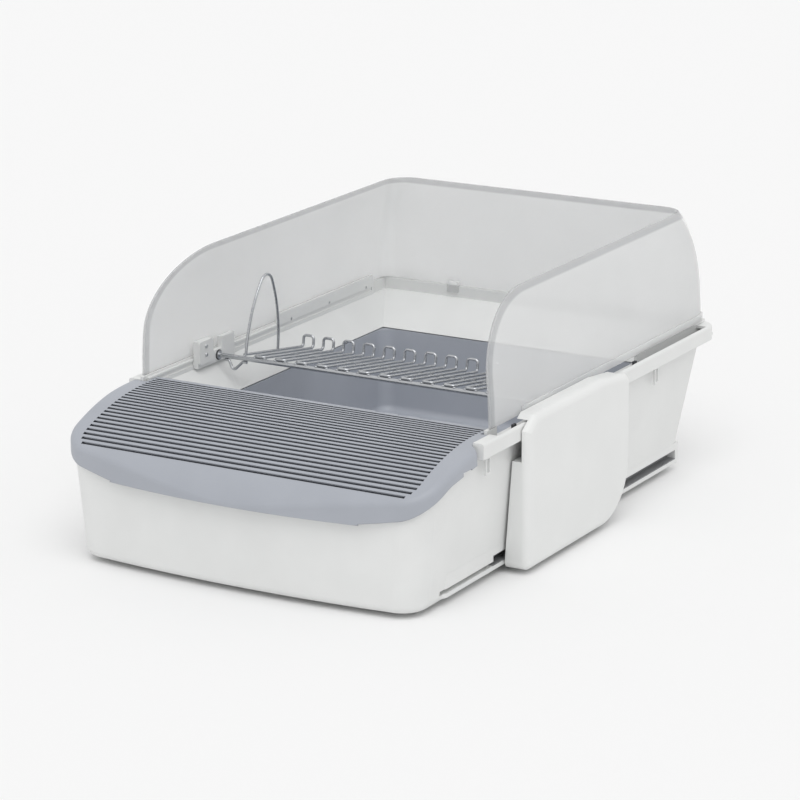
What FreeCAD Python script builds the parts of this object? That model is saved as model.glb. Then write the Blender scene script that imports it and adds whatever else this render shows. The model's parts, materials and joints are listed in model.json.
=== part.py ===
import FreeCAD, Part
import math
import os

import Sketcher
from FreeCAD import Placement, Rotation, Vector

# Hand-operated sifting litter box, in millimetres.
# X points to the right, Y to the back, Z up. The cat steps in at the front, over the step pad.
# Every piece is drawn about the middle of the tub. At the end all are moved left together, since
# the handle stands out on the right, so that the origin is under the middle of the whole object.

SIZES = {
    # whole object; its width is the rim's, and the handle stands out past it on the right
    "overall_depth": 655,
    "overall_height": 280,
    # travel of the slider, forwards and backwards from where it stands in the rest position
    "travel_front": 50,
    "travel_rear": 165,
    # gaps: between sliding faces, between a part and its seat, round a shaft, and under a weld
    "running_gap": 0.3,
    "seat_gap": 0.5,
    "fit_gap": 0.05,
    "weld_gap": 0.05,
    # base tub
    "foot_height": 5,
    "foot_radius": 7,
    "foot_side": 175,
    "foot_front": 274,
    "foot_rear": 250,
    "tub_wall": 3,
    "tub_low_half": 196,
    "tub_top_half": 208,
    "tub_low_front": 303,
    "tub_top_front": 306,
    "tub_low_rear": 274,
    "tub_top_rear": 317,
    "tub_top": 138,
    "tub_corner": 28,
    "tub_round": 8,
    "tub_bow": 1600,
    "brow_rear": 205,
    "brow_bend": 258,
    "brow_bend_height": 128,
    "brow_low": 316,
    "brow_low_height": 95,
    "brow_radius": 140,
    "tub_rib_width": 8,
    "tub_rib_pitch": 100,
    # low guide along the right side of the tub
    "guide_face": 198.5,
    "guide_depth": 18,
    "guide_low": 9,
    "guide_top": 32,
    "guide_front": 262,
    "guide_taper": 18,
    "guide_rear": 268,
    "slot_depth": 12,
    "slot_low": 13.5,
    "slot_top": 24,
    "slot_front_top": 18,
    "slot_front": 255,
    "slot_step": 150,
    "slot_rear": 262,
    "strip_thickness": 2,
    "strip_floor": 1,
    # upper frame
    "rim_top": 156,
    "rim_half": 218,
    "rim_rear": 324.5,
    "rim_front": 205,
    "rim_low": 140,
    "rim_plate": 3,
    "rim_corner": 20,
    "rim_round": 3,
    "cheek_inner": 206,
    "deck_top": 146,
    "deck_front": 180,
    "seat_outer": 203.5,
    "seat_wall": 3.5,
    "seat_rear": 321,
    "seat_front": 172,
    "seat_top": 159,
    "sill_top": 149,
    "sill_front": 152,
    "sill_rear": 155,
    "channel_front": 172,
    "channel_rear": 300,
    "channel_strip_thickness": 1,
    "funnel_top_half": 196.5,
    "funnel_top_front": 150,
    "funnel_top_rear": 312,
    "funnel_low_half": 168,
    "funnel_low_front": 137,
    "funnel_low_rear": 258,
    "funnel_low": 117,
    "funnel_wall": 3,
    "chute_half": 150,
    "chute_low": 121,
    "chute_top": 141,
    # snap clips under the rim
    "clip_width": 9,
    "clip_height": 22,
    "clip_thickness": 2.5,
    "clip_window": 5,
    "clip_low": 121,
    "clip_front": 190,
    "clip_left_front": 150,
    "clip_rear": 180,
    # litter pan
    "pan_top_half": 170,
    "pan_low_half": 165.5,
    "pan_top_front": 139,
    "pan_low_front": 133,
    "pan_top_rear": 260,
    "pan_low_rear": 252,
    "pan_low": 20,
    "pan_top": 116,
    "pan_wall": 2.5,
    "pan_corner": 18,
    "pan_round": 10,
    "pan_flange": 4,
    # waste bin
    "bin_top_half": 176,
    "bin_low_half": 168,
    "bin_top_front": 290,
    "bin_low_front": 276,
    "bin_top_rear": 150,
    "bin_low_rear": 156,
    "bin_top": 88,
    "bin_low": 12,
    "bin_wall": 2,
    "bin_corner": 30,
    "bin_round": 8,
    # step pad
    "pad_cheek_gap": 0.6,
    "pad_rear": 152,
    "pad_shoulder": 214,
    "pad_half": 216,
    "pad_corner": 38,
    "pad_corner_side": 175,
    "pad_bow": 900,
    "pad_top": 155,
    "pad_flat": 176,
    "pad_brow_front": 308,
    "pad_brow": 121.5,
    "pad_nose_radius": 40,
    "pad_lip": 94,
    "pad_wall": 4.5,
    "pad_skin": 4,
    "pad_round": 8,
    "pad_stiffener": 4,
    "tread_depth": 1.8,
    "tread_inset": 20,
    "tread_corner": 26,
    "tread_rear": 160,
    "tread_front": 310,
    "tread_pitch": 6.15,
    "tread_groove": 3.1,
    "notch_width": 11,
    "notch_depth": 2,
    "notch_pitch": 26,
    "notch_middle": 98,
    "grip_place": 231,
    "grip_width": 15,
    "grip_height": 8,
    # hood: half width, rear and height of its outer face from the seat to the top
    "hood_half": 204.5,
    "hood_rear": 322,
    "hood_corner": 17,
    "hood_shoulder": 190,
    "hood_shoulder_half": 203.4,
    "hood_shoulder_rear": 321.5,
    "hood_bend": 240,
    "hood_bend_half": 196.8,
    "hood_bend_rear": 319.4,
    "hood_top_half": 183,
    "hood_top_rear": 316,
    "hood_top_corner": 28,
    "hood_wall": 2.2,
    "hood_front": 167,
    "hood_brow_low": 205,
    "hood_brow_depth": 107,
    "collar_height": 8,
    "collar_proud": 1.8,
    "collar_front": 104,
    "tab_width": 14,
    "tab_thickness": 2,
    "tab_low": 152,
    "tab_side": 200,
    "tab_rear_side": 110,
    "catch_side": 173,
    "catch_width": 16,
    "catch_rear": 327.5,
    # rake height and place
    "shaft_radius": 2.5,
    "shaft_height": 153.8,
    "shaft_place": 45,
    "shaft_left": 196,
    "shaft_right": 203,
    "wire_radius": 1.5,
    "wire_pitch": 12.7,
    "wire_count": 26,
    "finger_length": 118,
    "finger_droop": 9,
    "loop_rise": 12.5,
    "wire_bend": 3.6,
    "cross_place": 68,
    "hoop_front": 3,
    "hoop_rear": 66,
    "hoop_rise": 82,
    "hoop_crown": 12,
    "crank_left": 177,
    "crank_right": 160,
    "crank_drop": 11,
    "crank_foot": 5,
    # shaft bushes, washers and rings
    "bush_radius": 3.4,
    "washer_radius": 5.5,
    "washer_thickness": 0.8,
    "ring_radius": 4.5,
    "ring_thickness": 1,
    # left rail and carriage
    "rail_wall": 3,
    "rail_top": 157,
    "rail_high_top": 168,
    "rail_front": 166,
    "rail_step": 84,
    "rail_rear": 286,
    "groove_low": 150.6,
    "groove_top": 154.6,
    "groove_depth": 1.2,
    "left_carriage_inner": 191,
    "left_carriage_front": 84,
    "left_carriage_rear": 14,
    "left_carriage_lift": 0.9,
    "left_carriage_top": 160,
    "block_front": 38,
    "block_top": 172,
    "plate_low": 151,
    "plate_top": 176,
    "plate_front": 84,
    "plate_rear": 58,
    "plate_thickness": 2.5,
    "plate_round": 3,
    # right carriage and slider; the panel's face stands out past the rim
    "handle_proud": 9,
    "right_carriage_inner": 190,
    "right_carriage_outer": 207,
    "right_carriage_front": 67,
    "right_carriage_rear": 23,
    "right_carriage_end": 204,
    "stop_length": 6,
    "stop_height": 6,
    "bracket_front": 85,
    "bracket_rear": 5,
    "bracket_wall": 2.7,
    "bracket_reach": 219,
    "bridge_low": 158,
    "panel_front": 130,
    "panel_rear": 95,
    "panel_low": 5,
    "panel_top": 163,
    "panel_inner": 199.5,
    "panel_step": 118,
    "panel_step_inner": 208.6,
    "panel_front_slope": 20,
    "panel_front_drop": 13,
    "panel_rear_slope": 62,
    "panel_rear_drop": 6,
    "panel_rear_corner": 7,
    "panel_heel": 60,
    "panel_toe": 8,
    "panel_wall": 3,
    "panel_rim": 5,
    "panel_round": 8,
    "shoe_front": 62,
    "shoe_rear": 28,
    "shoe_round": 2,
    # screws
    "screw_radius": 1.3,
    "screw_head_radius": 2.2,
    "screw_head": 1.4,
    "plate_screw_front": 72,
    "plate_screw_low": 160.5,
    "plate_screw_high": 170,
    "carriage_screw_front": 60,
    "carriage_screw_rear": 30,
    "carriage_screw_end": 192.7,
    "panel_screw_side": 212.4,
    "panel_screw_front": 75,
    "panel_screw_rear": 15,
    "panel_screw_depth": 3.5,
    "rail_screw_radius": 1.1,
    "rail_screw_head_radius": 1.9,
    "rail_screw_height": 156.8,
    "rail_screw_first": 110,
    "rail_screw_pitch": 80,
}


# How near, in millimetres, an edge has to lie to a place to be taken for rounding
NEAR = 1


class Size:
    """A length that knows both its value and the sheet expression behind it."""

    def __init__(self, value, text):
        self.value = float(value)
        self.text = text

    def __neg__(self):
        return Size(-self.value, "(-%s)" % self.text)

    def __add__(self, other):
        other = sized(other)
        return Size(self.value + other.value, "(%s + %s)" % (self.text, other.text))

    def __sub__(self, other):
        other = sized(other)
        return Size(self.value - other.value, "(%s - %s)" % (self.text, other.text))

    def __mul__(self, other):
        other = sized(other)
        return Size(self.value * other.value, "(%s * %s)" % (self.text, other.text))

    def __truediv__(self, other):
        other = sized(other)
        return Size(self.value / other.value, "(%s / %s)" % (self.text, other.text))

    __radd__ = __add__
    __rmul__ = __mul__

    def __rsub__(self, other):
        return sized(other) - self


def sized(value):
    """Turn a plain number into a Size, leave a Size as it is."""
    if isinstance(value, Size):
        return value
    return Size(value, "(%.6f)" % value)


class Dimensions:
    """The sheet's cells as attributes, each one a Size."""

    def __init__(self, sheet):
        for alias in SIZES:
            setattr(self, alias, Size(sheet.get(alias), "sizes.%s" % alias))


def make_sheet(doc):
    sheet = doc.addObject("Spreadsheet::Sheet", "sizes")
    for row, (alias, value) in enumerate(SIZES.items(), start=1):
        sheet.set("A%d" % row, alias)
        sheet.set("B%d" % row, str(value))
        sheet.setAlias("B%d" % row, alias)
    doc.recompute()
    return sheet


# General helpers


def new_body(label):
    body = DOC.addObject("PartDesign::Body", label)
    body.Label = label
    return body


def arc_between(start, end, radius):
    """Arc from start to end; a positive radius keeps the centre on the left of the way."""
    half = (end - start) * 0.5
    reach = abs(radius)
    rise = math.sqrt(max(reach * reach - half.Length ** 2, 0))
    side = Vector(-half.y, half.x, 0).normalize()
    centre = start + half + side * math.copysign(rise, radius)
    first, last = (start, end) if radius > 0 else (end, start)
    low = math.atan2(first.y - centre.y, first.x - centre.x)
    high = math.atan2(last.y - centre.y, last.x - centre.x)
    if high < low:
        high += 2 * math.pi
    return Part.ArcOfCircle(Part.Circle(centre, Vector(0, 0, 1), reach), low, high)


def add_circle(sketch, across, up, radius):
    """Circle whose centre and radius are bound to the sheet."""
    centre = Vector(sized(across).value, sized(up).value, 0)
    circle = sketch.addGeometry(Part.Circle(centre, Vector(0, 0, 1), radius.value))
    for kind, size in (("DistanceX", sized(across)), ("DistanceY", sized(up))):
        place = sketch.addConstraint(Sketcher.Constraint(kind, circle, 3, size.value))
        sketch.setExpression("Constraints[%d]" % place, size.text)
    place = sketch.addConstraint(Sketcher.Constraint("Radius", circle, radius.value))
    sketch.setExpression("Constraints[%d]" % place, radius.text)


def outline(body, role, loops, height=0):
    """Sketch on one of the body's own planes, every corner bound to the sheet.

    A corner is (across, up) or (across, up, radius); the radius bends the side that starts there.
    A loop of one corner with a radius is a whole circle round that place.
    """
    sketch = body.newObject("Sketcher::SketchObject", "outline")
    plane = [item for item in body.Origin.OriginFeatures if item.Role == role][0]
    sketch.AttachmentSupport = (plane, "")
    sketch.MapMode = "FlatFace"
    sketch.setExpression("AttachmentOffset.Base.z", sized(height).text)
    for points in loops:
        first = sketch.GeometryCount
        count = len(points)
        if count == 1:
            add_circle(sketch, *points[0])
            continue
        ends = []
        places = [Vector(sized(p[0]).value, sized(p[1]).value, 0) for p in points]
        for index, point in enumerate(points):
            start = places[index]
            end = places[(index + 1) % count]
            if len(point) == 3:
                radius = sized(point[2])
                sketch.addGeometry(arc_between(start, end, radius.value))
                ends.append((1, 2) if radius.value > 0 else (2, 1))
            else:
                sketch.addGeometry(Part.LineSegment(start, end))
                ends.append((1, 2))
        for index, point in enumerate(points):
            before = (index - 1) % count
            sketch.addConstraint(Sketcher.Constraint(
                "Coincident", first + before, ends[before][1], first + index, ends[index][0]))
            for kind, size in (("DistanceX", sized(point[0])), ("DistanceY", sized(point[1]))):
                place = sketch.addConstraint(Sketcher.Constraint(
                    kind, first + index, ends[index][0], size.value))
                sketch.setExpression("Constraints[%d]" % place, size.text)
            if len(point) == 3:
                radius = sized(point[2])
                bend = radius if radius.value > 0 else -radius
                place = sketch.addConstraint(Sketcher.Constraint(
                    "Radius", first + index, bend.value))
                sketch.setExpression("Constraints[%d]" % place, bend.text)
    return sketch


def rectangle(left, right, low, high):
    return [(left, low), (right, low), (right, high), (left, high)]


def extrude(body, sketch, length, kind="Pad", middle=False, flip=False):
    feature = body.newObject("PartDesign::%s" % kind, kind.lower())
    feature.Profile = sketch
    feature.setExpression("Length", sized(length).text)
    feature.Midplane = middle
    feature.Reversed = flip
    sketch.Visibility = False
    DOC.recompute()
    return feature


def plate(body, low, high, loops):
    """Flat plate between two heights, holes included."""
    sketch = outline(body, "XY_Plane", loops, low)
    return extrude(body, sketch, high - low)


def hollow(body, low, high, loops):
    """Flat pocket between two heights."""
    sketch = outline(body, "XY_Plane", loops, high)
    return extrude(body, sketch, high - low, kind="Pocket")


def loft(body, low, low_loop, high, high_loop, kind="AdditiveLoft"):
    """Straight loft from one outline to another above it."""
    base = outline(body, "XY_Plane", [low_loop], low)
    lid = outline(body, "XY_Plane", [high_loop], high)
    feature = body.newObject("PartDesign::%s" % kind, "loft")
    feature.Profile = base
    feature.Sections = [lid]
    feature.Ruled = True
    DOC.recompute()
    return feature


def round_edges(body, pick, radius):
    """Fillet every edge of the body that pick chooses."""
    tip = body.Tip
    names = ["Edge%d" % (index + 1) for index, edge in enumerate(tip.Shape.Edges) if pick(edge)]
    feature = body.newObject("PartDesign::Fillet", "round")
    feature.Base = (tip, names)
    feature.setExpression("Radius", sized(radius).text)
    DOC.recompute()
    return feature


def spans(edge, low, high):
    """True for an edge that climbs most of the way from low to high."""
    box = edge.BoundBox
    return box.ZLength > 0.6 * (high.value - low.value)


def lies_at(edge, height):
    box = edge.BoundBox
    return abs(box.ZMin - height.value) < 0.01 and abs(box.ZMax - height.value) < 0.01


def box(name, left, right, front, back, low, high):
    """Upright block between six faces, each given as a place."""
    block = DOC.addObject("Part::Box", name)
    left, right, front, back, low, high = (sized(v) for v in (left, right, front, back, low, high))
    block.setExpression("Length", (right - left).text)
    block.setExpression("Width", (back - front).text)
    block.setExpression("Height", (high - low).text)
    block.setExpression("Placement.Base.x", left.text)
    block.setExpression("Placement.Base.y", front.text)
    block.setExpression("Placement.Base.z", low.text)
    return block


AXES = {
    "x": Rotation(Vector(0, 1, 0), 90),
    "y": Rotation(Vector(1, 0, 0), -90),
    "z": Rotation(),
}


def rod(name, axis, radius, start, length):
    """Cylinder that starts at a point and runs along +axis."""
    bar = DOC.addObject("Part::Cylinder", name)
    bar.Placement = Placement(Vector(), AXES[axis])
    bar.setExpression("Radius", sized(radius).text)
    bar.setExpression("Height", sized(length).text)
    for letter, place in zip("xyz", start):
        bar.setExpression("Placement.Base.%s" % letter, sized(place).text)
    return bar


def fuse(name, shapes):
    joined = DOC.addObject("Part::MultiFuse", name)
    joined.Shapes = shapes
    joined.Refine = True
    joined.Label = name
    return joined


def cut(name, base, tool):
    left = DOC.addObject("Part::Cut", name)
    left.Base = base
    left.Tool = tool
    left.Refine = True
    left.Label = name
    return left


def group(name, shapes):
    """Identical pieces in one node, each its own solid."""
    bundle = DOC.addObject("Part::Compound", name)
    bundle.Links = shapes
    bundle.Label = name
    return bundle


def feature(name, shape, place=None):
    """Sub-part whose shape comes straight from a sweep or a loft."""
    item = DOC.addObject("Part::Feature", name)
    item.Shape = shape
    item.Label = name
    item.Placement = place or Placement()
    return item


def rounded(left, right, front, back, corner, bow=None):
    """Corners of a rectangle with rounded corners; a bow bends its front side outwards."""
    side = (left + corner, front) if bow is None else (left + corner, front, bow)
    return [
        side,
        (right - corner, front, corner),
        (right, front + corner),
        (right, back - corner, corner),
        (right - corner, back),
        (left + corner, back, corner),
        (left, back - corner),
        (left, front + corner, corner),
    ]


def disc(across, up, radius):
    """Whole circle, as a loop of one corner."""
    return [(across, up, radius)]


def whole_width(s):
    """Width that holds the rim and the handle, about the middle of the tub."""
    return (s.rim_half + s.handle_proud) * 2


def between(start, end, share):
    return start + (end - start) * share


class Vessel:
    """Open-topped tub: tapered walls, rounded upright corners and a rounded bottom edge."""

    def __init__(self, low, high, low_sides, high_sides, corner, bottom, wall, bow=None):
        self.low = low
        self.high = high
        self.low_sides = low_sides
        self.high_sides = high_sides
        self.corner = corner
        self.bottom = bottom
        self.wall = wall
        self.bow = bow

    def section(self, rise, inset, wall):
        """Plan outline at a height above the bottom, pulled in by an inset."""
        share = rise / (self.high - self.low)
        left, right, front, back = (
            between(a, b, share) for a, b in zip(self.low_sides, self.high_sides))
        pull = inset + wall
        return rounded(left + pull, right - pull, front + pull, back - pull,
                       self.corner - pull, self.bow)

    def add(self, body, kind, wall):
        """Rounded bottom first, straight walls above it."""
        steps = 3
        bend = self.bottom - wall
        sections = []
        for step in range(steps + 1):
            angle = math.pi / 2 * step / steps
            rise = bend * (1 - math.cos(angle)) + wall
            inset = bend * (1 - math.sin(angle))
            loop = self.section(rise, inset, wall)
            sections.append(outline(body, "XY_Plane", [loop], self.low + rise))
        chain(body, sections, kind, ruled=False)
        start = self.section(bend + wall, sized(0), wall)
        end = self.section(self.high - self.low, sized(0), wall)
        sections = [
            outline(body, "XY_Plane", [start], self.low + bend + wall),
            outline(body, "XY_Plane", [end], self.high),
        ]
        chain(body, sections, kind, ruled=True)

    def build(self, body):
        self.add(body, "AdditiveLoft", sized(0))
        self.add(body, "SubtractiveLoft", self.wall)


def chain(body, sections, kind, ruled):
    feature = body.newObject("PartDesign::%s" % kind, "loft")
    feature.Profile = sections[0]
    feature.Sections = sections[1:]
    feature.Ruled = ruled
    DOC.recompute()
    return feature


# Base tub and what is fixed in it


def brow_line(s, lift):
    """Line on which the step pad lies on the tub, from the front backwards."""
    return [
        (-s.brow_low, s.brow_low_height + lift, -s.brow_radius),
        (-s.brow_bend, s.brow_bend_height + lift),
        (-s.brow_rear, s.tub_top + lift),
    ]


def make_base_tub(s):
    body = new_body("base_tub")
    Vessel(
        s.foot_height, s.tub_top,
        (-s.tub_low_half, s.tub_low_half, -s.tub_low_front, s.tub_low_rear),
        (-s.tub_top_half, s.tub_top_half, -s.tub_top_front, s.tub_top_rear),
        s.tub_corner, s.tub_round, s.tub_wall, s.tub_bow).build(body)
    guide_inner = s.guide_face - s.guide_depth
    guide_loop = [
        (guide_inner, -s.guide_front),
        (s.guide_face - s.strip_thickness * 4, -s.guide_front),
        (s.guide_face, -s.guide_front + s.guide_taper),
        (s.guide_face, s.guide_rear),
        (guide_inner, s.guide_rear),
    ]
    plate(body, s.guide_low, s.guide_top, [guide_loop])
    slot_inner = s.guide_face - s.slot_depth
    reach = s.guide_face + s.tub_wall
    hollow(body, s.slot_low, s.slot_top,
           [rectangle(slot_inner, reach, -s.slot_step, s.slot_rear)])
    hollow(body, s.slot_low, s.slot_front_top,
           [rectangle(slot_inner, reach, -s.slot_front, -s.slot_step)])
    floor = s.foot_height + s.tub_wall
    for step in (-1, 0, 1):
        left = s.tub_rib_pitch * step - s.tub_rib_width / 2
        right = left + s.tub_rib_width
        plate(body, floor, s.pan_low, [rectangle(
            left, right, -s.pan_low_front + s.pan_round, s.pan_low_rear - s.pan_round)])
        plate(body, floor, s.bin_low, [rectangle(
            left, right, -s.bin_low_front + s.bin_corner, -s.bin_low_rear - s.bin_round)])
    beyond = s.overall_depth / 2 + s.tub_wall
    above = s.tub_top + s.tub_wall
    brow = outline(body, "YZ_Plane", [
        [(-beyond, s.brow_low_height)] + brow_line(s, sized(0))
        + [(-s.brow_rear, above), (-beyond, above)]])
    extrude(body, brow, whole_width(s), kind="Pocket", middle=True)
    return body


def make_tub_feet(s):
    feet = []
    for side in (-1, 1):
        for name, place in (("front", -s.foot_front), ("rear", s.foot_rear)):
            feet.append(rod("foot_%s_%d" % (name, side), "z", s.foot_radius,
                            (s.foot_side * side, place, 0), s.foot_height))
    return group("tub_feet", feet)


def make_litter_pan(s):
    body = new_body("litter_pan")
    Vessel(
        s.pan_low, s.pan_top,
        (-s.pan_low_half, s.pan_low_half, -s.pan_low_front, s.pan_low_rear),
        (-s.pan_top_half, s.pan_top_half, -s.pan_top_front, s.pan_top_rear),
        s.pan_corner, s.pan_round, s.pan_wall).build(body)
    flange = s.pan_flange
    outer = rounded(-s.pan_top_half - flange, s.pan_top_half + flange,
                    -s.pan_top_front - flange, s.pan_top_rear + flange, s.pan_corner + flange)
    inset = s.pan_wall
    inner = rounded(-s.pan_top_half + inset, s.pan_top_half - inset,
                    -s.pan_top_front + inset, s.pan_top_rear - inset, s.pan_corner - inset)
    plate(body, s.pan_top - s.pan_wall, s.pan_top, [outer, inner])
    return body


def make_waste_bin(s):
    body = new_body("waste_bin")
    Vessel(
        s.bin_low, s.bin_top,
        (-s.bin_low_half, s.bin_low_half, -s.bin_low_front, -s.bin_low_rear),
        (-s.bin_top_half, s.bin_top_half, -s.bin_top_front, -s.bin_top_rear),
        s.bin_corner, s.bin_round, s.bin_wall).build(body)
    return body


def make_guide_strip(s):
    inner = s.guide_face - s.slot_depth
    body = new_body("guide_strip")
    plate(body, s.slot_low, s.slot_top,
          [rectangle(inner, inner + s.strip_thickness, -s.slot_step, s.slot_rear)])
    plate(body, s.slot_low, s.slot_low + s.strip_floor,
          [rectangle(inner, s.guide_face, -s.slot_step, s.slot_rear)])
    return body


# Upper frame


def make_upper_frame(s):
    body = new_body("upper_frame")
    skirt_half = s.rim_half - s.rim_plate
    seat_inner = s.seat_outer - s.seat_wall
    outer = rectangle(-s.rim_half, s.rim_half, -s.rim_front, s.rim_rear)
    plate(body, s.rim_low, s.rim_top, [outer])
    round_edges(body, lambda edge: spans(edge, s.rim_low, s.rim_top)
                and edge.BoundBox.YMin > 0, s.rim_corner)
    round_edges(body, lambda edge: lies_at(edge, s.rim_top)
                and edge.BoundBox.YMax > -s.rim_front.value + NEAR, s.rim_round)
    inner_rim = [
        (-skirt_half, -s.rim_front + s.rim_plate),
        (skirt_half, -s.rim_front + s.rim_plate),
        (skirt_half, s.rim_rear - s.rim_corner),
        (s.rim_half - s.rim_corner, s.rim_rear - s.rim_plate),
        (-s.rim_half + s.rim_corner, s.rim_rear - s.rim_plate),
        (-skirt_half, s.rim_rear - s.rim_corner),
    ]
    hollow(body, s.rim_low, s.rim_top - s.rim_plate, [inner_rim])
    hollow(body, s.rim_low, s.rim_top, [rectangle(
        -s.seat_outer, s.seat_outer, -s.seat_front, s.seat_rear)])
    hollow(body, s.rim_low, s.rim_top, [rectangle(
        -s.rim_half - s.rim_plate, s.cheek_inner, -s.rim_front - s.rim_plate, -s.seat_front)])
    plate(body, s.rim_low, s.rim_top - s.rim_plate, [rectangle(
        -skirt_half, -s.seat_outer, -s.seat_front, -s.seat_front + s.rim_plate)])
    deck_low = s.deck_top - s.rim_plate
    plate(body, deck_low, s.seat_top, [
        rectangle(-s.seat_outer, s.seat_outer, -s.seat_front, s.seat_rear),
        rectangle(-seat_inner, seat_inner, -s.seat_front + s.seat_wall, s.seat_rear - s.seat_wall),
    ])
    plate(body, deck_low, s.deck_top, [
        rectangle(-skirt_half, skirt_half, -s.deck_front, s.seat_rear - s.seat_wall),
        rectangle(-s.funnel_top_half, s.funnel_top_half, -s.funnel_top_front, s.funnel_top_rear),
    ])
    hollow(body, s.deck_top, s.seat_top, [rectangle(
        -seat_inner, seat_inner, -s.deck_front, -s.seat_front + s.seat_wall * 2)])
    hollow(body, s.sill_top, s.seat_top, [rectangle(
        seat_inner - s.seat_wall, s.seat_outer, -s.sill_front, s.sill_rear)])
    hollow(body, s.deck_top, s.rim_top, [rectangle(
        s.seat_outer, skirt_half, -s.channel_front, s.channel_rear)])
    wall = s.funnel_wall
    loft(body, s.funnel_low,
         rectangle(-s.funnel_low_half - wall, s.funnel_low_half + wall,
                   -s.funnel_low_front - wall, s.funnel_low_rear + wall),
         s.deck_top,
         rectangle(-s.funnel_top_half - wall, s.funnel_top_half + wall,
                   -s.funnel_top_front - wall, s.funnel_top_rear + wall))
    loft(body, s.funnel_low,
         rectangle(-s.funnel_low_half, s.funnel_low_half, -s.funnel_low_front, s.funnel_low_rear),
         s.deck_top,
         rectangle(-s.funnel_top_half, s.funnel_top_half, -s.funnel_top_front, s.funnel_top_rear),
         kind="SubtractiveLoft")
    beyond = s.funnel_top_front + s.funnel_wall * 2
    hollow(body, s.chute_low, s.chute_top, [rectangle(
        -s.chute_half, s.chute_half, -beyond, -s.funnel_low_front + s.funnel_wall)])
    screw_loops = [disc(place, s.rail_screw_height, s.rail_screw_radius + s.fit_gap)
                   for place in rail_screw_places(s)]
    sketch = outline(body, "YZ_Plane", screw_loops, -s.seat_outer)
    extrude(body, sketch, s.seat_wall + s.fit_gap, kind="Pocket", flip=True)
    return body


def rail_screw_places(s):
    return [s.rail_screw_first + s.rail_screw_pitch * step for step in range(3)]


def make_frame_clips(s):
    face = s.rim_half - s.rim_plate
    clips = []
    for side, front in ((-1, s.clip_left_front), (1, s.clip_front)):
        for name, place in (("front", -front), ("rear", s.clip_rear)):
            tag = "%s_%d" % (name, side)
            near = face - s.clip_thickness
            left, right = (near, face) if side > 0 else (-face, -near)
            strap = box("clip_strap_" + tag, left, right, place - s.clip_width / 2,
                        place + s.clip_width / 2, s.clip_low, s.clip_low + s.clip_height)
            window = box("clip_window_" + tag, left - 1, right + 1, place - s.clip_window / 2,
                         place + s.clip_window / 2, s.clip_low + s.clip_thickness,
                         s.rim_low - s.clip_thickness)
            clips.append(cut("clip_" + tag, strap, window))
    return group("frame_clips", clips)


def make_channel_strip(s):
    skirt = s.rim_half - s.rim_plate
    body = new_body("channel_strip")
    plate(body, s.deck_top, s.deck_top + s.channel_strip_thickness, [rectangle(
        s.seat_outer + s.running_gap, skirt - s.running_gap,
        -s.channel_front + s.running_gap, s.channel_rear - s.running_gap)])
    return body


def make_travel_stops(s):
    """Rubber blocks that end the travel of the right carriage."""
    floor = s.deck_top + s.channel_strip_thickness
    front = -s.right_carriage_front - s.travel_front - s.seat_gap
    rear = -s.right_carriage_rear + s.travel_rear + s.seat_gap
    left = s.seat_outer + s.running_gap
    right = s.right_carriage_outer - s.seat_gap
    return group("travel_stops", [
        box("stop_front", left, right, front - s.stop_length, front, floor, floor + s.stop_height),
        box("stop_rear", left, right, rear, rear + s.stop_length, floor, floor + s.stop_height),
    ])


# Step pad


def root(size):
    """Square root of a size, still bound to the sheet."""
    return Size(math.sqrt(size.value), "sqrt(%s)" % size.text)


def pad_plan(s, inset):
    """Plan outline of the step pad: bowed nose, round corners, full width on the left, and on
    the right a shoulder in front of the rim's cheek."""
    nose = s.overall_depth / 2
    bow = s.pad_bow - inset
    corner = s.pad_corner - inset
    side = s.pad_corner_side
    depth = root((s.pad_bow - s.pad_corner) * (s.pad_bow - s.pad_corner) - side * side)
    share = bow / (s.pad_bow - s.pad_corner)
    centre = s.pad_bow - nose - depth
    start = (side * share, s.pad_bow - nose - depth * share)
    shoulder = (s.pad_half - inset, -s.pad_shoulder)
    away = (shoulder[0] - side, shoulder[1] - centre)
    square = away[0] * away[0] + away[1] * away[1]
    along = corner * corner / square
    across = corner * root(square - corner * corner) / square
    end = (side + away[0] * along + away[1] * across,
           centre + away[1] * along - away[0] * across)
    neck = s.cheek_inner - s.pad_cheek_gap - inset
    neck_y = -s.rim_front - s.pad_cheek_gap
    tail = s.seat_outer - s.seat_wall - s.rail_wall - s.pad_cheek_gap - inset
    step_y = -s.seat_front - s.pad_cheek_gap - inset
    return [
        (-start[0], start[1], bow),
        (*start, corner),
        end,
        shoulder,
        (neck, neck_y),
        (neck, step_y),
        (tail, step_y),
        (tail, -s.pad_rear),
        (-tail, -s.pad_rear),
        (-tail, step_y),
        (-shoulder[0], step_y),
        (-shoulder[0], shoulder[1]),
        (-end[0], end[1], corner),
    ]


def pad_crown(s):
    """Radius of the crown, level at the flat rear part and falling to the brow."""
    run = s.pad_brow_front - s.pad_flat
    fall = s.pad_top - s.pad_brow
    return (run * run + fall * fall) / (fall * 2)


def pad_top_line(s, drop, floor):
    """Top of the pad from the flat part to the nose, lowered by drop and ended at the floor."""
    crown = pad_crown(s)
    run = s.pad_brow_front - s.pad_flat
    sine = run / crown
    cosine = root(crown * crown - run * run) / crown
    radius = s.pad_nose_radius - drop
    centre = s.pad_brow_front - s.pad_nose_radius * sine
    height = s.pad_brow - s.pad_nose_radius * cosine
    reach = root(radius * radius - (floor - height) * (floor - height))
    return [
        (-s.pad_flat, s.pad_top - drop, crown - drop),
        (-centre - radius * sine, height + radius * cosine, radius),
        (-centre - reach, floor),
    ]


def pad_height(s, place):
    """Height of the crowned top at a distance in front of the origin."""
    crown = pad_crown(s)
    away = place - s.pad_flat
    return s.pad_top - crown + root(crown * crown - away * away)


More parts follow.
